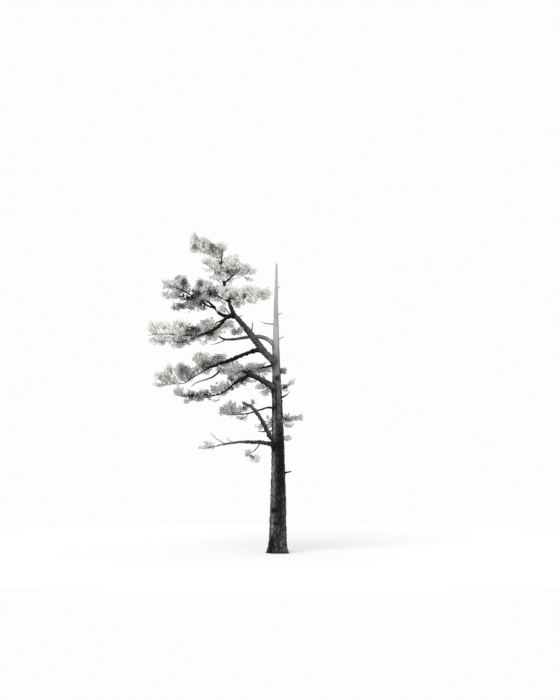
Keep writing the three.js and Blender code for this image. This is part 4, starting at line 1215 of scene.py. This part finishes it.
def needle_arrays(shoots):
    """The needles of many shoots at once.

    Each shoot is (foot, end, longest needle, tone, the share of its length where the brush starts).
    """
    foot, end, longest, tone, start = (np.array(column) for column in zip(*shoots))
    rng = np.random.default_rng(NEEDLE_SEED)
    length = np.linalg.norm(end - foot, axis=1)
    counts = np.maximum(FEWEST_NEEDLES, np.round(length * (1 - start) * NEEDLES_PER_MM)).astype(int)
    owner = np.repeat(np.arange(len(counts)), counts)
    order = np.arange(counts.sum()) - np.repeat(np.cumsum(counts) - counts, counts)
    share = (order + 0.5) / counts[owner]
    axis = ((end - foot) / length[:, None])[owner]
    out, way = needle_ways(axis, owner, order, share, rng)
    size = longest[owner] * rng.uniform(*NEEDLE_SIZES, len(order))
    place = mix(start[owner], 1, share) - rng.uniform(0, NEEDLE_SET_BACK, len(order))
    root = foot[owner] + (end - foot)[owner] * place[:, None]
    across = units(np.cross(way, out + axis * NEEDLE_TILT))
    normal = np.cross(across, way)
    belly = root + way * (size * NEEDLE_BELLY)[:, None] + normal * (NEEDLE_WIDTH * NEEDLE_FOLD)
    half = across * NEEDLE_WIDTH / 2
    tip = root + way * size[:, None]
    corners = np.stack([root, belly - half, tip, belly + half], axis=1)
    palest = len(NEEDLE_GREYS) - 1
    kinds = np.clip(np.round(tone[owner] * palest), 0, palest)
    within = ((tip > NEEDLE_REACH[0]) & (tip < NEEDLE_REACH[1])).all(axis=1)
    corners, kinds = corners[within], kinds[within]
    faces = np.arange(len(corners))[:, None, None] * corners.shape[1] + np.array([[0, 1, 2], [0, 2, 3]])
    return corners.reshape(-1, 3), faces.reshape(-1, 3), np.repeat(kinds, 2)


def mass_shoots(name, twigs, bare):
    """All the shoots of a mass that don't stick out of the tree's box, cross open sky or hide bare wood.

    Each is its line, its longest needle, how pale its needles are, and where its brush starts.
    """
    mass = MASSES[name]
    roll = dice(mass.seed * SEED_STEP + SHOOT_SEED)
    stem_points = STEMS[name].at(np.linspace(0, PAINTED_SHADE_ROUND_STEM["along"], PAINTED_SHADE_ROUND_STEM["points"]))
    shoots = []
    for root, way, spray_roll, length in (spray for _, sprays in twigs for spray in sprays):
        middle = root + way * SPRAY_CHECKS[0] * length
        tone = spray_tone(mass, stem_points, LOBES[name], middle, roll)
        longest = float(np.clip(NEEDLE_SHARE * length, *NEEDLE_LENGTH))
        for k, line in enumerate(spray_shoots(root, way, spray_roll, length)):
            _, knee, end = line
            spots = ((knee + end) / 2, end)
            shade = tone + TONE["shoot"] * (2 * roll() - 1) - shadow(spots[0])
            inside = ((end > SHOOT_REACH[0]) & (end < SHOOT_REACH[1])).all()
            if inside and not any(shows_sky(spot) or hides_wood(spot, bare) for spot in spots):
                shoots.append((line, longest, shade, BRUSH_START["side" if k else "middle"]))
    return shoots


def brush(line, longest, tone, start):
    """Where a shoot's needles stand: on its outer stretch, ending short of its tip by part of a needle."""
    foot, knee, end = line
    reach = unit(end - knee)
    return knee, end - reach * NEEDLE_OVERHANG * longest, longest, tone, start


def foliage_pieces(materials):
    """The needles of all the masses, in pieces that stay small enough, in the order of the masses."""
    batches = [(Gathered(), [])]
    size = 0
    for name, shoots in SHOOTS_OF.items():
        corners, faces, kinds = needle_arrays([brush(*shoot) for shoot in shoots])
        size += len(faces)
        if size > MOST_TRIANGLES:
            batches.append((Gathered(), []))
            size = len(faces)
        needles, names = batches[-1]
        needles.add(corners, faces, kinds)
        names.append(name)
    for number, (needles, names) in enumerate(batches, 1):
        dress(needles.piece(f"needles_{number}", materials, flat=True), "needles", *names)


def twigs_piece(material):
    """The stems, twigs and shoots that carry the needles."""
    wood = Gathered()
    stem_shares = np.linspace(0, 1, STEM_RINGS)
    twig_shares = np.linspace(0, 1, TWIG_RINGS)
    dark, pale = TWIG_TONE["stem"]
    for name, grown in TWIGS.items():
        tone = MASSES[name].tone
        radius = mix(STEM_RADII[name], STEM_TIP_RADIUS, stem_shares ** STEM_THINS)
        far = (dark if name in BARE_STEMS else pale) * tone
        tones = mix(dark, far, np.repeat(stem_shares, STEM_SIDES))
        corners, faces = tubes(STEMS[name].at(stem_shares)[None], radius[None], STEM_SIDES)
        wood.add(corners, faces, tone=np.append(tones, tones[[0, -1]]))
        curves = [curve for curve, _ in grown if curve is not None]
        if curves:
            lines = np.array([[curve_point(*curve, share) for share in twig_shares] for curve in curves])
            radius = np.broadcast_to(TWIG_RADIUS * blend(TWIG_THINS, twig_shares), lines.shape[:2])
            wood.add(*tubes(lines, radius, TWIG_SIDES), tone=mix(*TWIG_TONE["twig"], tone))
        lines = np.array([line for line, *_ in SHOOTS_OF[name]])
        wood.add(*spikes(lines, SHOOT_RADIUS), tone=mix(*TWIG_TONE["shoot"], tone))
    dress(wood.piece("twigs", [material]), "bough_bark", *MASSES)


def dress(piece, slot, *nodes):
    """A piece stands for its nodes: it rides on the tree's one body, and the nodes' own parts are hidden.
    The slot is not used.
    """
    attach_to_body(piece, "root")
    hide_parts(*nodes)


class Nodes:
    """A short way to write a material's nodes."""

    def __init__(self, name):
        self.material = bpy.data.materials.new(name)
        self.material.use_nodes = True
        self.tree = self.material.node_tree
        self.shader = self.tree.nodes["Principled BSDF"]

    def add(self, kind, settings=None, **inputs):
        node = self.tree.nodes.new(kind)
        for key, value in (settings or {}).items():
            setattr(node, key, value)
        for key, value in inputs.items():
            self.set(node, key.replace("_", " "), value)
        return node

    def set(self, node, key, value):
        socket = node.inputs[int(key)] if key.isdigit() else node.inputs[key]
        if isinstance(value, bpy.types.NodeSocket):
            self.tree.links.new(value, socket)
        else:
            socket.default_value = value

    def number(self, key):
        """One of the mesh's own numbers."""
        return self.add("ShaderNodeAttribute", {"attribute_name": key}).outputs["Fac"]

    def math(self, operation, a, b):
        node = self.tree.nodes.new("ShaderNodeMath")
        node.operation = operation
        self.set(node, "0", a)
        self.set(node, "1", b)
        return node.outputs[0]

    def noise(self, scale, detail, stretch=(1, 1, 1)):
        place = self.add("ShaderNodeTexCoord").outputs["Object"]
        mapped = self.add("ShaderNodeMapping", Vector=place, Scale=stretch).outputs[0]
        node = self.add("ShaderNodeTexNoise", Vector=mapped, Scale=scale, Detail=detail)
        return node.outputs["Fac"]

    def vary(self, value, noise, amount):
        """A value that noise lifts and lowers."""
        return self.math("ADD", value, self.math("MULTIPLY", self.math("SUBTRACT", noise, 0.5), amount))

    def roughness(self, noise, least, more):
        value = self.math("ADD", self.math("MULTIPLY", noise, more), least)
        self.set(self.shader, "Roughness", value)

    def bump(self, height, strength, distance):
        node = self.add("ShaderNodeBump", Height=height, Strength=strength, Distance=distance)
        self.tree.links.new(node.outputs[0], self.shader.inputs["Normal"])


def bark_material(name, greys=BARK_RAMP):
    """Bark: grey by its "tone", with painted shade in its cracks, mottled, with fine grain along the wood.
    """
    grain, mottle = BARK_NOISE[name]
    nodes = Nodes(name)
    tone = nodes.number("tone")
    crack = nodes.number("crack")
    patches = nodes.noise(mottle, **PATCHES)
    fibres = nodes.noise(grain, **FIBRES)
    value = nodes.vary(nodes.vary(tone, patches, MOTTLE), fibres, FIBRE)
    value = nodes.math("SUBTRACT", value, nodes.math("MULTIPLY", crack, CRACK_SHADE))
    ramp = nodes.add("ShaderNodeValToRGB", Fac=value)
    while len(ramp.color_ramp.elements) < len(greys):
        ramp.color_ramp.elements.new(0.5)
    for element, (place, grey) in zip(ramp.color_ramp.elements, greys):
        element.position = place
        element.color = (*(grey * part for part in BARK_TINT), 1)
    nodes.set(nodes.shader, "Base Color", ramp.outputs["Color"])
    nodes.shader.inputs["Specular IOR Level"].default_value = DULL
    nodes.roughness(fibres, **BARK_ROUGHNESS)
    nodes.bump(fibres, **BARK_BUMP)
    return nodes.material


def needle_material(number, grey):
    """Needles of one grey, with a slightly uneven gloss."""
    nodes = Nodes(f"needles_{number}")
    nodes.shader.inputs["Base Color"].default_value = (*(grey * part for part in NEEDLE_TINT), 1)
    nodes.shader.inputs["Specular IOR Level"].default_value = DULL
    nodes.roughness(nodes.noise(**NEEDLE_NOISE), **NEEDLE_ROUGHNESS)
    return nodes.material


def make_floor():
    """A plain pale round floor, level with the ground."""
    turn = np.arange(FLOOR_SIDES) * 2 * math.pi / FLOOR_SIDES
    rim = np.stack([np.cos(turn), np.sin(turn), np.zeros(FLOOR_SIDES)], axis=1) * FLOOR_RADIUS / MM
    corners = np.vstack([rim, [[0, 0, 0]]]) - UP * FLOOR_DROP
    side = np.arange(FLOOR_SIDES)
    faces = np.stack([side, (side + 1) % FLOOR_SIDES, np.full(FLOOR_SIDES, FLOOR_SIDES)], axis=1)
    nodes = Nodes("floor")
    nodes.shader.inputs["Base Color"].default_value = (*([FLOOR_GREY] * 3), 1)
    nodes.shader.inputs["Roughness"].default_value = 1
    floor = make_piece("floor", corners, faces, [nodes.material])


def light_scene():
    """Soft even light from a white surround, and a weak wide sun from the upper left of the front."""
    world = bpy.data.worlds.new("studio")
    world.use_nodes = True
    world.node_tree.nodes["Background"].inputs["Color"].default_value = (*([WORLD_GREY] * 3), 1)
    world.node_tree.nodes["Background"].inputs["Strength"].default_value = 1
    bpy.context.scene.world = world
    sun = bpy.data.lights.new("sun", "SUN")
    sun.energy = SUN["strength"]
    sun.angle = math.radians(SUN["softness"])
    lamp = bpy.data.objects.new("sun", sun)
    lamp.rotation_euler = Vector(SUN["towards"]).to_track_quat("-Z", "Y").to_euler()
    bpy.context.collection.objects.link(lamp)


def add_camera():
    camera = bpy.data.cameras.new("camera")
    camera.lens = CAMERA["lens"]
    camera.clip_end = 2 * CAMERA["distance"]
    eye = bpy.data.objects.new("camera", camera)
    eye.location = (CAMERA["east"], -CAMERA["distance"], CAMERA["height"])
    eye.rotation_euler = (math.pi / 2, 0, 0)
    bpy.context.collection.objects.link(eye)
    bpy.context.scene.camera = eye


bpy.context.scene.view_settings.view_transform = "Standard"
add_camera()
light_scene()
make_floor()

STEMS = {}
STEM_RADII = {}
TWIGS = {}
for mass_name in MASSES:
    STEMS[mass_name], STEM_RADII[mass_name], TWIGS[mass_name] = grow_mass(mass_name)
BARE_WOOD = bare_wood()
SHOOTS_OF = {name: mass_shoots(name, twigs, BARE_WOOD) for name, twigs in TWIGS.items()}

dress(trunk_piece(bark_material("trunk_bark")), "trunk_bark", "trunk")
dress(limbs_piece(bark_material("boughs_bark")), "bough_bark", *LIMBS)
twigs_piece(bark_material("twigs_bark", TWIG_RAMP))
foliage_pieces([needle_material(number, grey) for number, grey in enumerate(NEEDLE_GREYS)])
